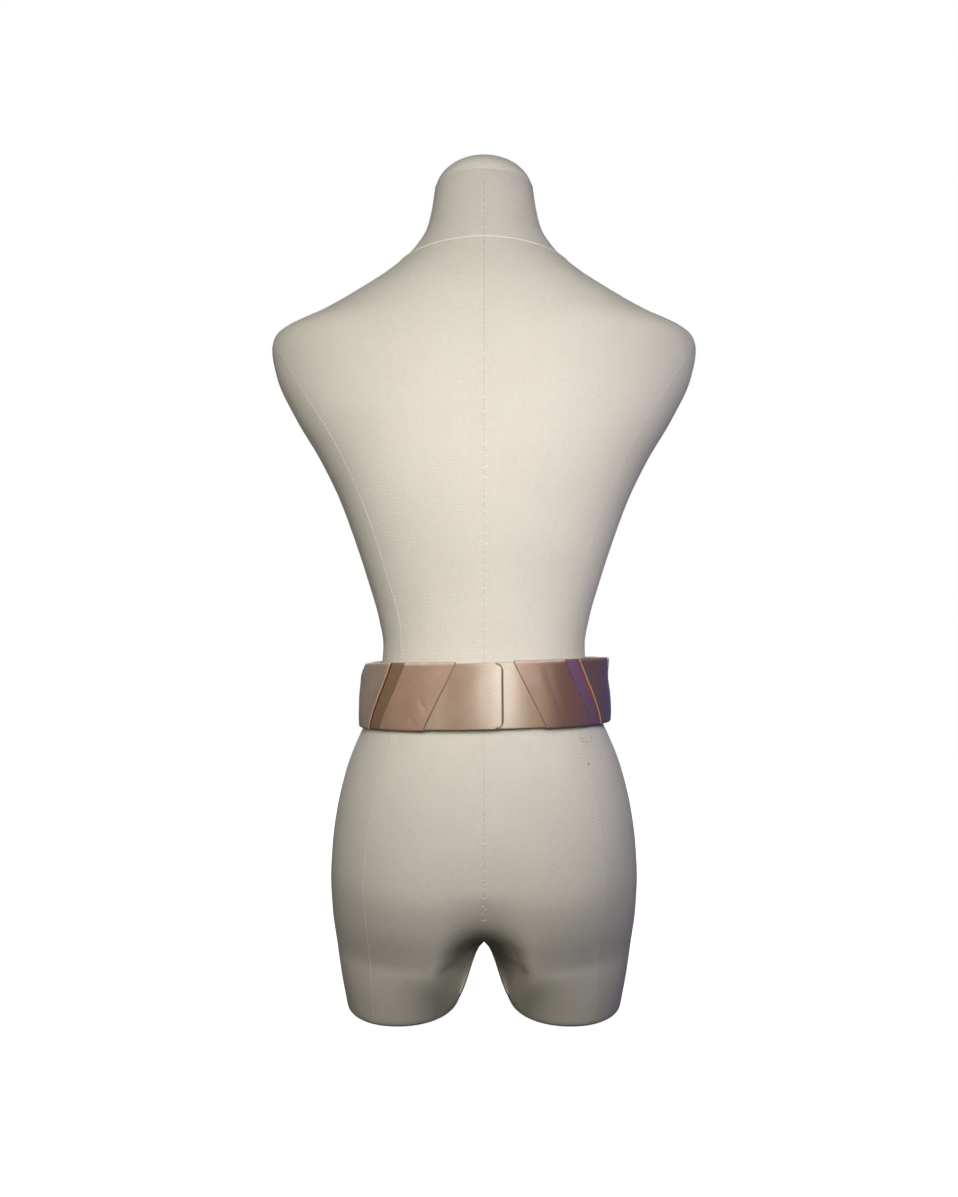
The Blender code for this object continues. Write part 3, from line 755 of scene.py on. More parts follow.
def cap_seam():
    """A closed path round the top of the neck, where the cap's cover is sewn on."""
    row = FORM_ROWS[-1]
    middle, deep = (row.back - row.front) / 2, (row.back + row.front) / 2
    path = []
    for turn in np.linspace(0.0, 2 * math.pi, CAP_SEAM_STEPS + 1):
        x, y = row.half_width * math.sin(turn), middle + deep * math.cos(turn)
        place = Vector((x, y, float(neck_tilt(row.height, y)) + CAP_GAP / 2)) * MM
        path.append((place, Vector((math.sin(turn), math.cos(turn), 0.0))))
    return path


print("skin under the centre back:", on_form((0.0, FAR, 0.45), (0.0, -1.0, 0.0))[0])

# %% Where the seams run
BACK_SEAM = [(675.0, 213.7), (618.5, 178.7), (573.0, 149.7), (530.0, 128.5), (493.0, 113.3)]
BACK_SEAM += [(447.0, 98.9), (376.0, 81.9), (276.0, 90.7), (231.0, 104.0), (177.0, 113.0)]
BACK_SEAM += [(137.0, 114.5), (73.5, 110.4), (3.4, 106.7)]
FRONT_SEAM = [(700.0, 95.0), (640.0, 84.0), (556.0, 72.0), (450.0, 62.0), (373.0, 56.0)]
FRONT_SEAM += [(290.0, 66.0), (200.0, 76.0), (100.0, 80.0), (4.0, 82.0)]
CENTRE_SEAM = [(834.0, 0.0), (88.0, 0.0)]
NECK_SEAM_BACK, NECK_SEAM_FRONT = 766.0, 738.0
# Below 1, the neck's seam stays high for longer on its way round to the front.
NECK_SEAM_POWER = 0.7


def mark_side_panels():
    """Gives each point of the cover its distance outside the panel seam, in millimetres."""
    spots = np.array([tuple(vert.co) for vert in form.data.vertices]) / MM
    seams = (column_curve(seam_table(rows), "across") for rows in (BACK_SEAM, FRONT_SEAM))
    lines = [seam(spots[:, 2]) for seam in seams]
    beyond = np.abs(spots[:, 0]) - np.where(spots[:, 1] > 0.0, *lines)
    layer = form.data.attributes.new("side_panel", "FLOAT", "POINT")
    layer.data.foreach_set("value", beyond.astype(np.float32))


def neck_seam_height(turn):
    """The height of the neck's seam at a turn from the centre back."""
    share = ((1.0 + math.cos(turn)) / 2) ** NECK_SEAM_POWER
    return NECK_SEAM_FRONT + (NECK_SEAM_BACK - NECK_SEAM_FRONT) * share


mark_side_panels()
panel_paths = [panel_seam(BACK_SEAM, side, 1.0) for side in (1, -1)]
panel_paths += [panel_seam(FRONT_SEAM, side, -1.0) for side in (1, -1)]
centre_paths = [panel_seam(CENTRE_SEAM, 1, faces) for faces in (1.0, -1.0)]
neck_paths = [ring_seam(neck_seam_height)]
print("panel seams:", [len(path) for path in panel_paths])


# %% Paths as meshes
def path_mesh(name, paths, lift=0.0):
    """Open chains of edges on the skin, each point keeping the way that the skin faces."""
    points, edges, ways = [], [], []
    for path in paths:
        start = len(points)
        points += [tuple(place + normal * lift * MM) for place, normal in path]
        ways += [tuple(normal) for _, normal in path]
        edges += [(i, i + 1) for i in range(start, len(points) - 1)]
    data = bpy.data.meshes.new(name)
    data.from_pydata(points, edges, [])
    layer = data.attributes.new("outward", "FLOAT_VECTOR", "POINT")
    layer.data.foreach_set("vector", np.array(ways, dtype=np.float32).ravel())
    thing = bpy.data.objects.new(name, data)
    bpy.context.scene.collection.objects.link(thing)
    return thing


print("points on the seams:", sum(len(path) for path in panel_paths + centre_paths + neck_paths))

# %% [markdown]
# ## Two node trees: a welt and a row of stitches
# A welt is a round profile swept along the path. A stitch is a tiny stretched ball set at even
# steps: it can lean across the path, as a whipped stitch does, and vary in length and place.
# Both trees end in real geometry with its material, and the result is kept as a plain mesh.


# %% The welt tree
def new_tree(name, inputs):
    """A geometry tree with named inputs, given as (name, socket type, default)."""
    tree = bpy.data.node_groups.new(name, "GeometryNodeTree")
    tree.interface.new_socket("Geometry", in_out="INPUT", socket_type="NodeSocketGeometry")
    for title, kind, default in inputs:
        socket = tree.interface.new_socket(title, in_out="INPUT", socket_type=kind)
        if default is not None:
            socket.default_value = default
    tree.interface.new_socket("Geometry", in_out="OUTPUT", socket_type="NodeSocketGeometry")
    return tree, add(tree, "NodeGroupInput").outputs


def ended(tree, shape, given):
    """Ends a tree in real, smooth geometry with its material."""
    real = add(tree, "GeometryNodeRealizeInstances", {"Geometry": shape})
    smooth = add(tree, "GeometryNodeSetShadeSmooth", {"Geometry": real})
    dressed = {"Geometry": smooth, "Material": given["Material"]}
    final = add(tree, "GeometryNodeSetMaterial", dressed)
    add(tree, "NodeGroupOutput", {"Geometry": final})
    return tree


def welt_tree():
    """Sweeps a round welt along every chain of edges."""
    inputs = [("Radius", "NodeSocketFloat", 0.0006), ("Material", "NodeSocketMaterial", None)]
    tree, given = new_tree("seam welt", inputs)
    curve = add(tree, "GeometryNodeMeshToCurve", {"Mesh": given["Geometry"]})
    ring = {"Resolution": 8, "Radius": given["Radius"]}
    profile = add(tree, "GeometryNodeCurvePrimitiveCircle", ring)
    sweep = {"Curve": curve, "Profile Curve": profile, "Fill Caps": True}
    return ended(tree, add(tree, "GeometryNodeCurveToMesh", sweep), given)


# %% The stitch tree
def stitch_tree():
    """Sets small stitches at steps along every chain, leaning across it by an angle."""
    inputs = [
        ("Spacing", "NodeSocketFloat", 0.003),
        ("Length", "NodeSocketFloat", 0.002),
        ("Thread", "NodeSocketFloat", 0.0004),
        ("Lean", "NodeSocketFloat", 0.0),
        ("Unevenness", "NodeSocketFloat", 0.2),
        ("Seed", "NodeSocketInt", 1),
        ("Material", "NodeSocketMaterial", None),
    ]
    tree, given = new_tree("row of stitches", inputs)
    curve = add(tree, "GeometryNodeMeshToCurve", {"Mesh": given["Geometry"]})
    spaced = {"Curve": curve, "Length": given["Spacing"]}
    steps = add(tree, "GeometryNodeResampleCurve", spaced, mode="LENGTH")
    low = add(tree, "ShaderNodeMath", {0: 1.0, 1: given["Unevenness"]}, operation="SUBTRACT")
    high = add(tree, "ShaderNodeMath", {0: 1.0, 1: given["Unevenness"]})
    between = {"Min": low, "Max": high, "Seed": given["Seed"]}
    vary = add(tree, "FunctionNodeRandomValue", between, data_type="FLOAT")
    lean = add(tree, "ShaderNodeMath", {0: given["Lean"], 1: vary}, operation="MULTIPLY")
    long = add(tree, "ShaderNodeMath", {0: given["Length"], 1: vary}, operation="MULTIPLY")
    along = add(tree, "GeometryNodeInputTangent")
    kept = {"Name": "outward"}
    outward = add(tree, "GeometryNodeInputNamedAttribute", kept, data_type="FLOAT_VECTOR")
    leaning = {"Vector": along, "Axis": outward, "Angle": lean}
    way = add(tree, "ShaderNodeVectorRotate", leaning, rotation_type="AXIS_ANGLE")
    stitches = {
        "Points": steps,
        "Instance": add(
            tree, "GeometryNodeMeshUVSphere", {"Segments": 6, "Rings": 4, "Radius": 0.5}
        ),
        "Rotation": add(tree, "FunctionNodeAlignRotationToVector", {"Vector": way}, axis="Z"),
        "Scale": add(
            tree, "ShaderNodeCombineXYZ", {0: given["Thread"], 1: given["Thread"], 2: long}
        ),
    }
    return ended(tree, add(tree, "GeometryNodeInstanceOnPoints", stitches), given)


def grown(thing, tree, values):
    """Runs a geometry tree on an object and keeps the result as a plain mesh of the form."""
    modifier = thing.modifiers.new("made", "NODES")
    modifier.node_group = tree
    for item in tree.interface.items_tree:
        if item.item_type == "SOCKET" and item.in_out == "INPUT" and item.name in values:
            modifier[item.identifier] = values[item.name]
    graph = bpy.context.evaluated_depsgraph_get()
    mesh = bpy.data.meshes.new_from_object(thing.evaluated_get(graph), depsgraph=graph)
    thing.modifiers.clear()
    thing.data = mesh
    join_part(thing)
    print(thing.name, "faces:", len(mesh.polygons))


WELT, STITCHES = welt_tree(), stitch_tree()
print("trees:", WELT.name, "and", STITCHES.name)

# %% Welts and stitches on the form
Welt = collections.namedtuple("Welt", "name paths lift radius cloth")
WELTS = [
    Welt("panel_seam_welts", panel_paths, -0.28, 0.5, seam_linen),
    Welt("neck_seam_welt", neck_paths, -0.1, 0.75, seam_linen),
    Welt("cap_seam_welt", [cap_seam()], 0.1, 0.8, seam_linen),
    Welt("centre_seam_welt", centre_paths, -0.2, 0.4, closed_linen),
]
for welt in WELTS:
    values = {"Radius": welt.radius * MM, "Material": welt.cloth}
    grown(path_mesh(welt.name, welt.paths, welt.lift), WELT, values)

values = {"Spacing": 3.4 * MM, "Length": 2.0 * MM, "Thread": 0.5 * MM, "Lean": 0.7}
values |= {"Unevenness": 0.3, "Seed": 4, "Material": thread_linen}
grown(path_mesh("panel_seam_stitches", panel_paths, 0.12), STITCHES, values)

# %% [markdown]
# ## Hand stitches down the centre back
# The centre back seam was closed by hand. It puckers: at uneven steps a stitch pulls a small tick
# out of the cloth, large on the neck and above the crotch, hardly there between. Two rows of
# leaning stitches, one to each side, make the ticks. The right row's are spaced wider, so that the
# two rows don't pair up.

# %% Ticks on the centre back
Stretch = collections.namedtuple("Stretch", "name low high spacing length thread")
TICKS = [
    Stretch("neck", 776.0, 832.0, 6.6, 4.6, 0.95),
    Stretch("shoulders", 600.0, 764.0, 9.5, 3.0, 0.6),
    Stretch("waist", 362.0, 590.0, 7.5, 2.8, 0.6),
    Stretch("hips", 190.0, 282.0, 9.0, 3.2, 0.65),
    Stretch("seat", 112.0, 186.0, 8.0, 4.4, 0.85),
]
TickRow = collections.namedtuple("TickRow", "word side lean wider seed")
TICK_ROWS = [TickRow("left", 1, 1.05, 1.0, 12), TickRow("right", -1, -0.85, 1.37, 11)]
TICK_OFF_CENTRE = 0.9
TICK_LIFT = 0.05
# The ticks are drawn in the paler seam linen, a painted highlight on each pucker.
for number, tick in enumerate(TICKS):
    places = [(tick.low, TICK_OFF_CENTRE), (tick.high, TICK_OFF_CENTRE)]
    for row in TICK_ROWS:
        path = panel_seam(places, row.side, 1.0)
        values = {
            "Spacing": tick.spacing * row.wider * MM,
            "Length": tick.length * MM,
            "Thread": tick.thread * MM,
            "Lean": row.lean,
            "Unevenness": 0.55,
            "Seed": row.seed + 2 * number,
            "Material": seam_linen,
        }
        grown(path_mesh(f"ticks_{tick.name}_{row.word}", [path], TICK_LIFT), STITCHES, values)

# %% [markdown]
# ## Pin holes
# The linen has been pinned into: a few small dark holes and snags are left beside the right back
# seam below the sash, and one or two elsewhere. Each is a flat speck laid on the skin.

# %% Pin holes
pinhole, tree, shader = new_material("dark pin hole in linen")
grain = add(tree, "ShaderNodeTexNoise", {"Scale": 900.0})
tones = {"Factor": grain, "A": linear("2E2A26"), "B": linear("4A443C")}
feed(shader, {"Base Color": add(tree, "ShaderNodeMix", tones, **OF_COLOURS), "Roughness": 0.95})

PIN_HOLE_RISE = 0.12
PinHole = collections.namedtuple("PinHole", "across height wide tall")
PIN_HOLES = [
    PinHole(-101.4, 252.6, 1.6, 2.4),
    PinHole(-95.4, 276.8, 1.1, 1.3),
    PinHole(-96.4, 274.0, 1.2, 1.2),
    PinHole(-100.1, 274.0, 0.9, 1.8),
    PinHole(-100.8, 271.3, 0.9, 0.9),
    PinHole(-104.9, 273.5, 1.1, 1.2),
    PinHole(-106.0, 276.6, 0.8, 1.6),
    PinHole(-115.9, 258.6, 1.0, 1.0),
    PinHole(76.5, 361.5, 0.7, 0.8),
    PinHole(17.5, 791.0, 0.7, 0.7),
]


def build_pin_holes():
    """Small flattened specks on the skin, joined in one mesh."""
    mesh = bmesh.new()
    for hole in PIN_HOLES:
        place, normal = on_form((hole.across * MM, FAR, hole.height * MM), (0.0, -1.0, 0.0))
        turn = normal.to_track_quat("Z", "Y").to_matrix().to_4x4()
        turn.translation = place
        found = bmesh.ops.create_icosphere(mesh, subdivisions=2, radius=1.0)
        half = Vector((hole.wide / 2, hole.tall / 2, PIN_HOLE_RISE)) * MM
        for vert in found["verts"]:
            vert.co = turn @ (vert.co * half)
    data = bpy.data.meshes.new("pin_holes")
    mesh.to_mesh(data)
    mesh.free()
    data.materials.append(pinhole)
    data.shade_smooth()
    thing = bpy.data.objects.new("pin_holes", data)
    bpy.context.scene.collection.objects.link(thing)
    return thing


join_part(build_pin_holes())
print("pin holes:", len(PIN_HOLES))

# %% [markdown]
# ## Satin, matte silk and copper lining
# Satin is woven with long threads (floats) lying along the strip, so it shines in a band that is
# narrow along the sash and tall across it. That is an anisotropic highlight: the roughness is
# large up the cloth and small along it. The shine is strong, more than a plain fibre's, because
# thousands of floats lie side by side, so the index is set above the yarn's own 1.6. The floats
# are drawn as fine streaks 0.7 mm apart, coarser than the real 0.1 mm ones. Two marks on the mesh
# change the cloth: a painted highlight makes it pale along rounded top edges and rim crowns, and a
# painted shadow makes it dark along bottom edges, seams and the band's free end, where it is also
# duller. On the right, the blush satin is painted darker towards the side as shade, and the rose
# satin is painted darker throughout and turns to a painted violet reflection towards the side. The
# inset strips are a plain-woven silk with no shine, the right one painted plum as a violet
# reflection, and the facings a copper-coloured satin, painted lighter on the right inner facing
# and darker as shade on the front ones.

# %% Satin
FLOAT_APART = 0.7
FLOAT_LONG = 6.0
SATIN_IOR = 1.75
# Roughness where the painted shadow is full, so the shaded edges are also duller.
PAINTED_SHADOW_ROUGHNESS = 1.0
# Fine grain and soft clouds, as how many there are in a metre and how rough their edges are.
SATIN_NOISES = ((900.0, 1.0), (38.0, 2.5))


def satin(name, hexes, roughness, anisotropy, shine=1.0, index=SATIN_IOR, painted_side=None):
    """Satin with streaked floats, in four colours: light, deep, a painted highlight and a painted
    shadow.

    The argument after the index is a second hex, and the places along the sash, in millimetres,
    between which the cloth turns to it. It paints shade towards the side on the blush satin, and
    a violet reflection on the rose one.
    """
    material, tree, shader = new_material(name)
    light, deep, painted_highlight, painted_shadow = map(linear, hexes.split())
    flat = add(tree, "ShaderNodeUVMap", uv_map="cloth")
    stretch = (1.0 / (FLOAT_LONG * MM), 1.0 / (FLOAT_APART * MM), 1.0)
    streaks = add(tree, "ShaderNodeMapping", {"Vector": flat, "Scale": stretch})
    lines = {"Vector": streaks, "Scale": 1.0, "Detail": 2.0, "Roughness": 0.6}
    floats = add(tree, "ShaderNodeTexNoise", lines)
    grain, clouds = (
        add(tree, "ShaderNodeTexNoise", {"Vector": flat, "Scale": scale, "Detail": detail})
        for scale, detail in SATIN_NOISES
    )
    relief = add(tree, "ShaderNodeMath", {0: grain, 1: floats})
    mottle = add(tree, "ShaderNodeMath", {0: relief, 1: clouds})
    span = {"Value": mottle, "From Min": 1.1, "From Max": 1.9}
    share = add(tree, "ShaderNodeMapRange", span, **SOFT_STEP)
    colour = add(tree, "ShaderNodeMix", {"Factor": share, "A": deep, "B": light}, **OF_COLOURS)
    if painted_side:
        second, start, end = painted_side
        along = add(tree, "ShaderNodeSeparateXYZ", {"Vector": flat}).outputs["X"]
        span = {"Value": along, "From Min": start * MM, "From Max": end * MM}
        share = add(tree, "ShaderNodeMapRange", span, **SOFT_STEP)
        tones = {"Factor": share, "A": linear(second), "B": colour}
        colour = add(tree, "ShaderNodeMix", tones, **OF_COLOURS)
    # A pale painted highlight, then a dark painted shadow, which also makes the cloth duller.
    for mark, marked in (("painted_highlight", painted_highlight), ("painted_shadow", painted_shadow)):
        share = add(tree, "ShaderNodeAttribute", attribute_name=mark).outputs["Fac"]
        tones = {"Factor": share, "A": colour, "B": marked}
        colour = add(tree, "ShaderNodeMix", tones, **OF_COLOURS)
    dulled = {"Value": share, "To Min": roughness, "To Max": PAINTED_SHADOW_ROUGHNESS}
    relief = {"Height": relief, "Strength": 0.45, "Distance": 0.00014}
    feed(
        shader,
        {
            "Base Color": colour,
            "Roughness": add(tree, "ShaderNodeMapRange", dulled),
            "Normal": add(tree, "ShaderNodeBump", relief),
            "Tangent": add(tree, "ShaderNodeTangent", direction_type="UV_MAP", uv_map="cloth"),
            "Anisotropic": anisotropy,
            "Anisotropic Rotation": 0.25,
            "IOR": index,
            "Specular IOR Level": shine,
            "Specular Tint": linear("FFF8EE"),
            "Sheen Weight": 0.10 * shine,
            "Sheen Roughness": 0.4,
        },
    )
    return material


# Each satin's hexes are its light and deep tones, its painted highlight and its painted shadow.
champagne = satin(
    "champagne polyester satin", "AC8E72 997B60 D8C2AE 341C0E", 0.50, 0.80, index=2.0
)
blush = satin("blush polyester satin", "B28E76 9D7B66 E0CAB6 6E4636", 0.56, 0.72)
rose = satin("rose polyester satin", "AC9482 988270 D2B8A4 6A4A3E", 0.6, 0.6)
print("plain satins:", champagne.name, "and", blush.name, "and", rose.name)

# %% Satins with painted side shade and violet reflection, and facings
# Painted shade towards the side on the right blush wrap, and a painted violet reflection on the
# right side wrap: each is a hex and where along the sash it comes in.
SIDE_SHADE_BROWN = ("745245", 626.0, 662.0)
SIDE_REFLECTION_VIOLET = ("5E4278", 552.0, 588.0)
blush_side_shade = satin(
    "blush satin shot with brown", "AE8B74 997964 E0CAB6 6A4238", 0.56, 0.70, painted_side=SIDE_SHADE_BROWN
)
rose_side_shade_violet = satin(
    "rose satin shot with violet", "6C5148 5C443F C9AA90 4A3240", 0.6, 0.6, painted_side=SIDE_REFLECTION_VIOLET
)
# One copper satin facing, also painted lighter for the right inner facing and darker as shade for
# the front facings.
FACINGS = {
    "copper polyester satin facing": "9C4610 86390A 9C4E1C 5E2608",
    "golden copper satin facing": "B8660E A0560C C07A2C 7A4210",
    "red-brown satin facing": "5A3428 4C2A20 6A4434 3A2018",
}
copper, copper_painted_lighter, copper_painted_shade = (
    satin(name, hexes, 0.7, 0.3, shine=0.3) for name, hexes in FACINGS.items()
)
print("facings:", list(FACINGS))

# %% Matte silk
SILK_THREAD = 0.9
SILK_GRAINS_PER_METRE = 700.0


def matte_silk(name, light_hex, deep_hex):
    """Plain-woven silk, flat in tone, with a faint crosswise rib."""
    material, tree, shader = new_material(name)
    flat = add(tree, "ShaderNodeUVMap", uv_map="cloth")
    ribs = {"Vector": flat, "Scale": WAVE_PERIOD / (SILK_THREAD * MM)}
    ribs |= {"Distortion": 1.0, "Detail": 1.0}
    rib = add(tree, "ShaderNodeTexWave", ribs, bands_direction="Y").outputs["Fac"]
    fine = {"Vector": flat, "Scale": SILK_GRAINS_PER_METRE, "Detail": 1.0}
    grain = add(tree, "ShaderNodeTexNoise", fine)
    span = {"Value": grain, "From Min": 0.3, "From Max": 0.7}
    share = add(tree, "ShaderNodeMapRange", span, **SOFT_STEP)
    tones = {"Factor": share, "A": linear(deep_hex), "B": linear(light_hex)}
    relief = add(tree, "ShaderNodeMath", {0: rib, 1: grain})
    relief = {"Height": relief, "Strength": 0.3, "Distance": 0.0001}
    feed(
        shader,
        {
            "Base Color": add(tree, "ShaderNodeMix", tones, **OF_COLOURS),
            "Normal": add(tree, "ShaderNodeBump", relief),
            "Roughness": 0.75,
            "Specular IOR Level": 0.25,
            "Sheen Weight": 0.05,
        },
    )
    return material


umber_silk = matte_silk("umber matte silk", "866A52", "7B6049")
# The right strip is painted plum, a violet reflection of the lavender light.
silk_painted_plum = matte_silk("plum matte silk", "735470", "694B66")
print("silks:", umber_silk.name, "and", silk_painted_plum.name)

# %% [markdown]
# ## The surface of the sash
# The sash is one tube round the waist. A place on it is given by the distance along from the
# centre back, the height above its bottom edge, and how far out from the band's face it lies.
# Soft hollows and creases move every layer alike, so no layer comes through the one over it. Each
# crease is a line from one place to another, deepest in the middle and fading at both ends: a
# positive depth is a trough, a negative one a ridge. Those at the back follow the photograph, and
# the hidden front has a few more like them.

# %% Hollows and creases
Hollow = collections.namedtuple("Hollow", "along lean height depth width tall")
HOLLOWS = [
    Hollow(172.0, 0.0, 68.0, 6.0, 30.0, 10.0),
    Hollow(-176.0, 0.0, 44.0, 1.2, 40.0, 16.0),
    Hollow(84.0, -14.0, 24.0, 0.6, 16.0, 20.0),
    Hollow(-62.0, 12.0, 30.0, 0.5, 14.0, 26.0),
    Hollow(262.0, -16.0, 34.0, 0.8, 26.0, 24.0),
    Hollow(-240.0, 14.0, 28.0, 0.7, 22.0, 24.0),
]
Crease = collections.namedtuple("Crease", "side column height to_column to_height depth width")
CREASES = [
    Crease(-1, 71.5, 62.0, 65.0, 8.0, 0.55, 3.2),
    Crease(-1, 64.0, 64.0, 58.0, 12.0, -0.40, 6.0),
    Crease(-1, 80.0, 50.0, 84.0, 14.0, 0.18, 5.0),
    Crease(-1, 54.0, 30.0, 50.0, 8.0, 0.14, 4.0),
    Crease(1, 64.5, 33.0, 46.5, 16.0, 0.55, 2.6),
    Crease(1, 56.0, 24.0, 51.0, 13.0, -0.35, 3.4),
    Crease(1, 60.5, 13.0, 58.0, 5.0, 0.50, 3.0),
    Crease(1, 51.5, 10.0, 49.0, 4.0, -0.25, 2.6),
    Crease(1, 80.0, 46.0, 88.0, 30.0, 0.15, 5.0),
    Crease(1, 132.0, 66.0, 134.5, 6.0, -0.45, 2.4),
    Crease(1, 137.0, 64.0, 139.5, 10.0, 0.35, 2.6),
    Crease(-1, 128.5, 66.0, 120.5, 6.0, -0.50, 2.2),
    Crease(-1, 133.0, 64.0, 125.0, 8.0, 0.45, 2.8),
    Crease(-1, 148.0, 60.0, 143.0, 12.0, -0.30, 4.0),
    Crease(1, 7.0, 22.0, 11.0, 2.0, 0.20, 7.0),
    Crease(1, 0.5, 56.0, 0.0, 10.0, 0.16, 6.0),
    Crease(1, 23.0, 60.0, 20.0, 30.0, 0.10, 7.0),
    Crease(1, 205.0, 60.0, 214.0, 10.0, 0.45, 4.0),
    Crease(1, 236.0, 62.0, 228.0, 20.0, -0.35, 5.0),
    Crease(1, 290.0, 50.0, 305.0, 12.0, 0.40, 4.5),
    Crease(-1, 214.0, 58.0, 206.0, 16.0, 0.40, 3.6),
    Crease(-1, 262.0, 62.0, 274.0, 22.0, -0.40, 4.6),
    Crease(-1, 318.0, 44.0, 326.0, 8.0, 0.35, 4.0),
]
# How soon a crease fades in from its ends, and how much of it is there at them.
CREASE_FADE = 0.3
CREASE_AT_ENDS = 0.15
SASH_STEPS = 1440


def sash_oval(turn, height):
    """Plan point and outward normal, turn 0 at the centre back and a quarter at the left side."""
    width = sash_column["half_width"](height)
    back = np.cos(turn) >= 0.0
    deep = np.where(back, sash_column["back"](height), sash_column["front"](height))
    out_x, out_y = np.sin(turn) / width, np.cos(turn) / deep
    size = np.hypot(out_x, out_y)
    return width * np.sin(turn), deep * np.cos(turn), out_x / size, out_y / size


measured_turns = np.linspace(0.0, 2 * math.pi, SASH_STEPS + 1)
measured_x, measured_y, _, _ = sash_oval(measured_turns, SASH_HEIGHT / 2)
steps_along = np.hypot(np.diff(measured_x), np.diff(measured_y))
measured_run = np.concatenate([[0.0], np.cumsum(steps_along)])
GIRTH = float(measured_run[-1])


def slanted(column, height):
    """The distance along the sash of a slanted column at a height, upright at the two ends."""
    knees = (OVERLAP_END + OVERLAP_CORNER_TOP, INNER_SEAM, FRONT_FOLD)
    at = [*knees, GIRTH - FRONT_FOLD, GIRTH - INNER_SEAM, GIRTH - knees[0]]
    lean = np.interp(column, at, [0.0, -1.0, -1.0, 1.0, 1.0, 0.0])
    return column + SLANT * lean * (np.clip(height / SASH_HEIGHT, 0.0, 1.0) - 0.5)


def relief(along, height):
    """How far in the cloth lies at each place, from the hollows and the creases."""
    around = (along + GIRTH / 2) % GIRTH - GIRTH / 2
    depth = np.zeros(np.broadcast(around, height).shape)
    for hollow in HOLLOWS:
        middle = hollow.along + hollow.lean * (height - hollow.height) / SASH_HEIGHT
        across = np.exp(-(((around - middle) / hollow.width) ** 2))
        depth += hollow.depth * across * np.exp(-(((height - hollow.height) / hollow.tall) ** 2))
    for crease in CREASES:
        x0 = crease.side * float(slanted(crease.column, crease.height))
        x1 = crease.side * float(slanted(crease.to_column, crease.to_height))
        x0, x1 = ((x + GIRTH / 2) % GIRTH - GIRTH / 2 for x in (x0, x1))
        run_x, run_h = x1 - x0, crease.to_height - crease.height
        t = ((around - x0) * run_x + (height - crease.height) * run_h) / (run_x**2 + run_h**2)
        held = np.clip(t, 0.0, 1.0)
        off = np.hypot(around - x0 - held * run_x, height - crease.height - held * run_h)
        fade = eased((0.5 - np.abs(held - 0.5)) / CREASE_FADE + CREASE_AT_ENDS)
        depth += crease.depth * fade * np.exp(-((off / crease.width) ** 2))
    return depth


def sash_place(along, height, out):
    """Points of the sash in millimetres: along from the centre back, up, and outwards."""
    turn = np.interp(along % GIRTH, measured_run, measured_turns)
    held = np.clip(height, 0.0, SASH_HEIGHT)
    x, y, out_x, out_y = sash_oval(turn, held)
    rise = (OVERLAP_RISE_FROM - along) / (OVERLAP_RISE_FROM - OVERLAP_RISE_TO)
    out = out + OVERLAP_STEP * eased(rise) - relief(along, held)
    x = x + out_x * out + SASH_SHIFT
    y = y + out_y * out
    return np.stack([x, y, SASH_BOTTOM + height + SASH_ROLL * x], axis=-1)


print("sash girth", round(GIRTH, 1), "mm")

# %% [markdown]
# ## A wall of folded cloth
# In section a wrap goes up the outside of the band and is folded over its top and bottom edges,
# with a short lip behind. That section is swept along the slanted columns. Near a cut or folded
# end the wall is rounded down to the layer under it, so each seam shows as a fine soft edge.

# %% Swept walls
COLUMN_STEP = 1.6
EDGE_STEPS = (0.0, 0.12, 0.35, 0.7, 1.1, 1.6)
NARROW_COLUMNS = 9
WALL_STEPS = 40
FOLD_STEPS = 12
LIP_STEPS = 5
EDGE_ROUND = 0.45
# How much of the cloth's thickness is left at a seam.
SEAM_THICKNESS = 0.25
EDGE_DARK = 0.5
BOW_REACH = 14.0
# A pressed fold stands out less at its edge than the solid's does.
SHOWN_RIM = 0.45
RIM_WIDTH = 0.9
# A painted highlight along a wrap's rounded top edge: how far below the top it lies, and how tall.
TOP_HIGHLIGHT_BELOW = 1.2
TOP_HIGHLIGHT_TALL = 1.2
# Two waves along the sash, in turns for each millimetre, that make the painted top highlight
# uneven.
TOP_HIGHLIGHT_WAVES = (0.23, 0.11)
TOP_HIGHLIGHT_UNEVEN = 0.25
# How tall the painted shade along a wrap's bottom edge is.
BOTTOM_SHADE_TALL = 1.2


def close_columns(start, end):
    """Columns from start to end, close together at both ends where the wall is rounded."""
    inner = [start + EDGE_STEPS[-1], end - EDGE_STEPS[-1]]
    if inner[1] <= inner[0]:
        return np.linspace(start, end, NARROW_COLUMNS)
    count = max(round((inner[1] - inner[0]) / COLUMN_STEP), 1)
    middle = np.linspace(*inner, count + 1)
    left = [start + step_in for step_in in EDGE_STEPS[:-1]]
    right = [end - step_in for step_in in reversed(EDGE_STEPS[:-1])]
    return np.concatenate([left, middle, right])


def wrap_section(bottom, top):
    """Centre line of a wrap, as rows of its height and of the way out and the way up there."""
    half_turns = np.linspace(0.0, math.pi, FOLD_STEPS + 1)
    lips = np.linspace(LIP_HEIGHT, 0.0, LIP_STEPS)
    rows = [(bottom + lip, -1.0, 0.0) for lip in lips[:-1]]
    rows += [(bottom, -math.cos(turn), -math.sin(turn)) for turn in half_turns]
    rows += [(height, 1.0, 0.0) for height in np.linspace(bottom, top, WALL_STEPS + 1)[1:-1]]
    rows += [(top, math.cos(turn), math.sin(turn)) for turn in half_turns]
    rows += [(top - lip, -1.0, 0.0) for lip in lips[-2::-1]]
    return np.array(rows)


def tube_faces(columns, size):
    """Faces between columns of points that each go once round the wall."""
    faces = []
    for low in range(0, (columns - 1) * size, size):
        for i in range(size):
            j = (i + 1) % size
            faces.append((low + i, low + j, low + size + j, low + size + i))
    return faces


def end_faces(start, size):
    """The end of a wall, closed from its outer skin to its inner one."""
    last = start + size - 1
    return [(start + i, start + i + 1, last - 1 - i, last - i) for i in range(size // 2 - 1)]


def rounded(distance, radius):
    """How much of the thickness is left at a distance from a rounded edge."""
    into = np.clip(distance / radius, 0.0, 1.0)
    return np.sqrt(1.0 - (1.0 - into) ** 2)


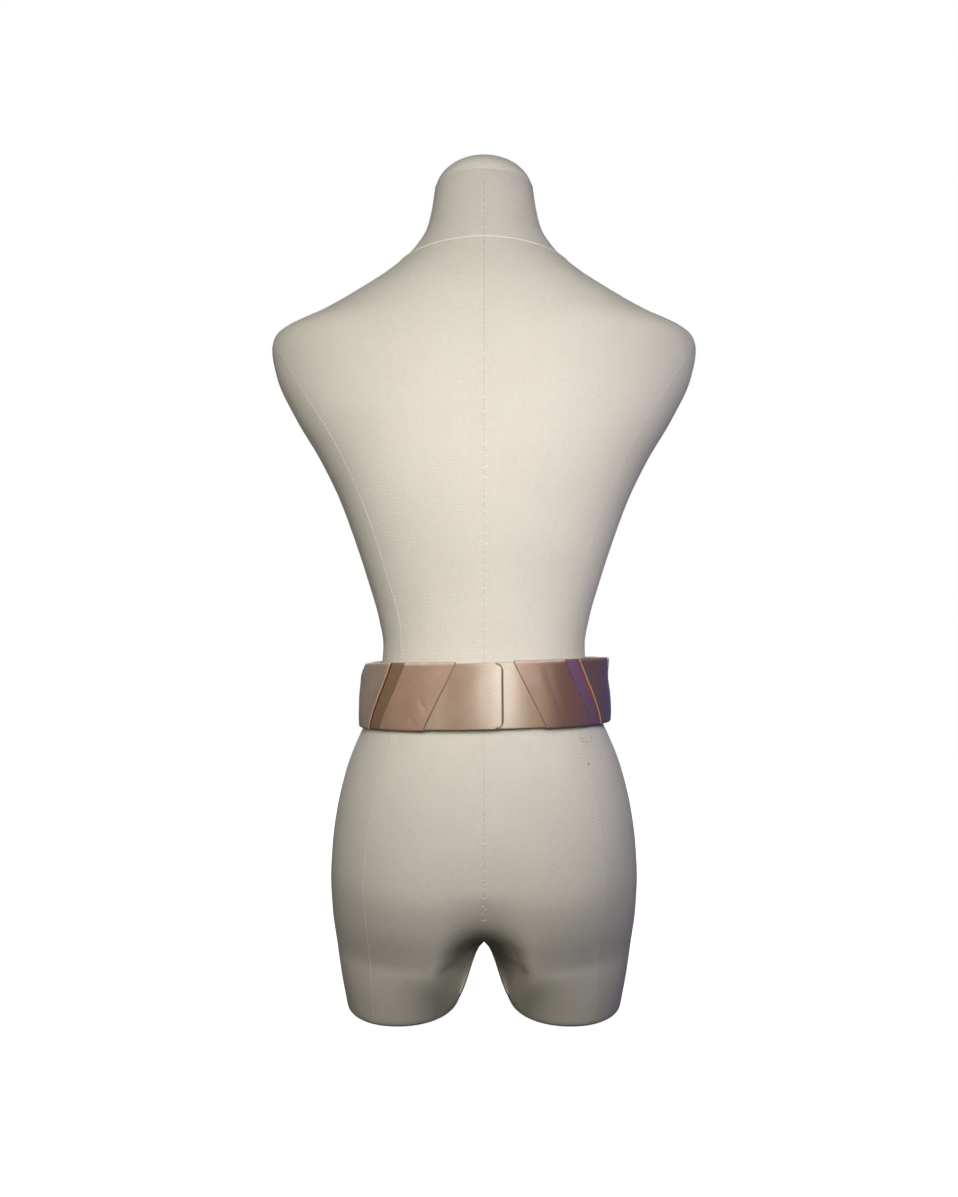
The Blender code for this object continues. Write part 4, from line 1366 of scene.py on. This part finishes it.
def wrap_wall(name, start, end, cloth, material, rims=(0.0, 0.0), bows=(0.0, 0.0), rubbed=0.0):
    """A wrap from one column to another.

    rims is how much a rounded double fold adds at each end; its crown also gets the painted
    highlight. bows is how far each end moves up the column numbers at half height, and down them
    at the top and bottom, which opens the line beside it like a narrow leaf. The last argument
    sets how strong the painted highlight along the rounded top edge is, and the painted shade
    along the bottom one. An end with no rim is a seam, whose last half millimetre is in painted
    shadow.
    """
    bottom = BAND_THICKNESS / 2 + LAYER_GAP + CLOTH
    radius = BAND_THICKNESS / 2 + LAYER_GAP
    height, way_out, way_up = wrap_section(bottom, SASH_HEIGHT - bottom).T
    middle = -BAND_THICKNESS / 2
    stops = close_columns(start, end)
    skins, flats, painted_highlight, painted_shadow = [], [], [], []
    up = np.clip(height / SASH_HEIGHT, 0.0, 1.0)
    leaf = 8.0 * up * (1.0 - up) - 1.0
    outside = way_out > 0.0
    level = height + way_up * (radius + cloth)
    # Painted highlight along the rounded top edge, and painted shade along the bottom one.
    pale = rubbed * np.exp(-(((SASH_HEIGHT - TOP_HIGHLIGHT_BELOW - level) / TOP_HIGHLIGHT_TALL) ** 2)) * outside
    dark = rubbed * np.exp(-((level / BOTTOM_SHADE_TALL) ** 2)) * outside
    for column in stops:
        from_start, from_end = column - start, end - column
        rim_share = [math.exp(-((inside / RIM_WIDTH) ** 2)) for inside in (from_start, from_end)]
        rim = rims[0] * rim_share[0] + rims[1] * rim_share[1]
        bent = bows[0] * math.exp(-from_start / BOW_REACH) * from_end / (end - start)
        bent += bows[1] * math.exp(-from_end / BOW_REACH) * from_start / (end - start)
        along = slanted(column, height) + bent * leaf
        waves = np.sin(along * TOP_HIGHLIGHT_WAVES[0]) * np.cos(along * TOP_HIGHLIGHT_WAVES[1])
        uneven = 1.0 - TOP_HIGHLIGHT_UNEVEN + TOP_HIGHLIGHT_UNEVEN * waves
        # A rim's crown also gets the painted highlight, and a seam's edge a painted shadow.
        pale_here = np.maximum(pale * uneven, min(rim / SHOWN_RIM, 1.0) * outside)
        seams = [inside for inside, raised in zip((from_start, from_end), rims) if not raised]
        seam_dark = math.exp(-((min(seams, default=math.inf) / EDGE_DARK) ** 2))
        dark_here = np.maximum(dark, seam_dark * outside)
        left = min(rounded(from_start, EDGE_ROUND), rounded(from_end, EDGE_ROUND))
        thick = cloth * (SEAM_THICKNESS + (1.0 - SEAM_THICKNESS) * left)
        thick = thick + rim * np.maximum(way_out, 0.0) * left
        for reach, order in ((radius + thick, 1), (np.full(len(height), radius), -1)):
            points = sash_place(along, height + way_up * reach, middle + way_out * reach)
            skins.append(points[::order])
            lengths = np.linalg.norm(np.diff(points, axis=0), axis=1)
            run = np.concatenate([[0.0], np.cumsum(lengths)])
            flats.append(np.stack([along, run], axis=-1)[::order] * MM)
        painted_highlight += [pale_here, np.zeros(len(height))]
        painted_shadow += [dark_here, np.zeros(len(height))]
    points, flats = np.concatenate(skins), np.concatenate(flats)
    size = 2 * len(height)
    faces = tube_faces(len(stops), size)
    faces += [face[::-1] for face in end_faces(0, size)]
    faces += end_faces(len(points) - size, size)
    marks = {"painted_highlight": np.concatenate(painted_highlight), "painted_shadow": np.concatenate(painted_shadow)}
    return mesh_object(name, points, faces, flats, material, sharp=CLOTH_SHARP_EDGE, marks=marks)


CLOTH_SHARP_EDGE = 60.0
print("a short piece of wall has", len(close_columns(0.0, 10.0)), "columns")

# %% [markdown]
# ## The band and its two ends
# The band is satin over a stiff core, 66 mm wide once folded. It starts at the rounded free end of
# the over-lap, goes once round the waist and ends under the over-lap. Its section is a flat bar
# with round edges. At the free end it stays flat and bright up to a narrow painted shadow line,
# which runs round both corners.

# %% The band
END_ROLL = 0.7
# The free end starts this far into its rounding, so that it isn't a knife edge.
END_CUT = 0.06
END_STEPS = (0.0, 0.05, 0.15, 0.35, 0.6, 0.9, 1.3, 1.8, 2.4, 3.2, 4.2, 5.4, 6.8)
# A painted shadow line along the band's free end and round its corners: its width and its fade.
END_SHADOW_WIDTH = 1.9
END_SHADOW_FADE = 0.6
BAND_EDGE_STEPS = 8


def band_section(column, inset_bottom, inset_top, slim):
    """One section of the band, as points, flat places and its painted shadow near the free end."""
    half = BAND_THICKNESS / 2 * slim
    edge = BAND_THICKNESS / 2 + LAYER_GAP + CLOTH
    low, high = edge + inset_bottom, SASH_HEIGHT - edge - inset_top
    turns = np.linspace(0.0, math.pi, BAND_EDGE_STEPS + 1)
    walls = np.linspace(low, high, WALL_STEPS + 1)[1:-1]
    heights = [low - half * np.sin(turns), walls, high + half * np.sin(turns), walls[::-1]]
    outs = [-half * np.cos(turns), np.full(len(walls), half), half * np.cos(turns)]
    outs.append(np.full(len(walls), -half))
    height, out = np.concatenate(heights), np.concatenate(outs)
    along = slanted(column, height)
    points = sash_place(along, height, -BAND_THICKNESS / 2 + out)
    flats = np.stack([along, height + np.where(out > 0.0, 0.0, 2 * SASH_HEIGHT)], axis=-1) * MM
    inside = np.full(len(height), column - OVERLAP_END)
    for inset, into in ((inset_bottom, height - low + half), (inset_top, high + half - height)):
        inside = np.minimum(inside, into) if inset > 0.0 else inside
    return points, flats, np.clip((END_SHADOW_WIDTH + END_SHADOW_FADE / 2 - inside) / END_SHADOW_FADE, 0.0, 1.0)


def build_band():
    """The whole band, as one closed mesh."""
    largest = max(OVERLAP_CORNER_TOP, OVERLAP_CORNER_BOTTOM)
    sections = []
    for into in (*END_STEPS, largest):
        insets = []
        for corner in (OVERLAP_CORNER_BOTTOM, OVERLAP_CORNER_TOP):
            left = max(corner - into, 0.0)
            insets.append(corner - math.sqrt(corner * corner - left * left))
        slim = float(rounded(into + END_CUT, END_ROLL))
        sections.append(band_section(OVERLAP_END + into, *insets, slim))
    first, last = OVERLAP_END + largest, GIRTH + UNDERLAP_END
    stops = np.linspace(first, last, round((last - first) / COLUMN_STEP) + 1)
    sections += [band_section(column, 0.0, 0.0, 1.0) for column in stops[1:]]
    size = len(sections[0][0])
    points, flats, painted_shadow = (np.concatenate(parts) for parts in zip(*sections))
    faces = tube_faces(len(sections), size)
    faces.append(tuple(reversed(range(size))))
    faces.append(tuple(range(len(points) - size, len(points))))
    look = {"sharp": CLOTH_SHARP_EDGE, "marks": {"painted_shadow": painted_shadow}}
    return mesh_object("sash_band_satin", points, faces, flats, champagne, **look)


band = build_band()
merged(band, 0.001)
join_part(band, "sash_band")

# %% [markdown]
# ## Wraps, strips and facings
# Each side has the same five pieces in the same order from the centre back: a blush satin wrap, a
# flat matte strip, a narrow copper facing, the side wrap with its rolled fold, and a second copper
# facing. One more wrap covers the whole front. The same loop makes both sides; the right side is
# the left one mirrored, in its own cloths, which carry painted shade and a painted violet
# reflection towards the side, and a copper facing painted lighter.

# %% The pieces of a side
def side_spans():
    """Where each piece of the left side starts and ends, in order from the centre back."""
    room = FACING_WIDTH + 2 * SEAM_GAP
    edges = [INNER_SEAM, BLUSH_EDGE, SIDE_FOLD - room, SIDE_FOLD, FRONT_FOLD - room, FRONT_FOLD]
    return list(zip(edges, edges[1:]))


# How strong the painted top highlight and bottom shade are on the pale satin and the darker one.
PALE_PAINTED_EDGES, ROSE_PAINTED_EDGES = 0.95, 0.25
Piece = collections.namedtuple("Piece", "name slot cloth gaps rim bows rubbed")
SIDE_PIECES = [
    Piece("blush_wrap", "blush_satin", CLOTH, (0.0, 0.0), 0.0, (0.0, 0.0), PALE_PAINTED_EDGES),
    Piece("inset_strip", None, STRIP_CLOTH, (SEAM_GAP, 0.0), 0.0, (0.0, 0.0), 0.0),
    Piece("side_facing", "copper_facing", CLOTH, (SEAM_GAP, SEAM_GAP), 0.0, (0.0, 1.0), 0.0),
    Piece("side_wrap", "rose_satin", CLOTH, (0.0, 0.0), SHOWN_RIM, (1.0, 0.0), ROSE_PAINTED_EDGES),
    Piece("front_facing", "copper_facing", CLOTH, (SEAM_GAP, SEAM_GAP), 0.0, (0.0, 0.3), 0.0),
]
# How wide the copper line opens at half height beyond its even width, on each side.
LEAF = {"left": 0.15, "right": 0.85}
FINISHES = {
    "left": [blush, umber_silk, copper, rose, copper_painted_shade],
    "right": [blush_side_shade, silk_painted_plum, copper_painted_lighter, rose_side_shade_violet, copper_painted_shade],
}
print("pieces on each side:", [piece.name for piece in SIDE_PIECES])

# %% The wraps
cloths, widths = {}, {}
for side, word in ((1, "left"), (-1, "right")):
    for piece, span, material in zip(SIDE_PIECES, side_spans(), FINISHES[word]):
        start, end = span[0] + piece.gaps[0], span[1] - piece.gaps[1]
        rims = (piece.rim, 0.0)
        bows = tuple(side * LEAF[word] * bow for bow in piece.bows)
        name = f"{piece.name}_{word}"
        widths[name] = end - start
        if side < 0:
            start, end, rims, bows = GIRTH - end, GIRTH - start, rims[::-1], bows[::-1]
        thing = wrap_wall(
            f"{name}_cloth", start, end, piece.cloth, material, rims, bows, piece.rubbed
        )
        join_part(thing, name)
        cloths[name] = thing
        print(thing.name, round(widths[name], 1), "mm wide,", len(thing.data.polygons), "faces")

both = (SHOWN_RIM, SHOWN_RIM)
span = (FRONT_FOLD, GIRTH - FRONT_FOLD)
front = wrap_wall("front_wrap_cloth", *span, CLOTH, rose, both, rubbed=ROSE_PAINTED_EDGES)
join_part(front, "front_wrap")
print("front wrap", round(span[1] - span[0], 1), "mm wide")
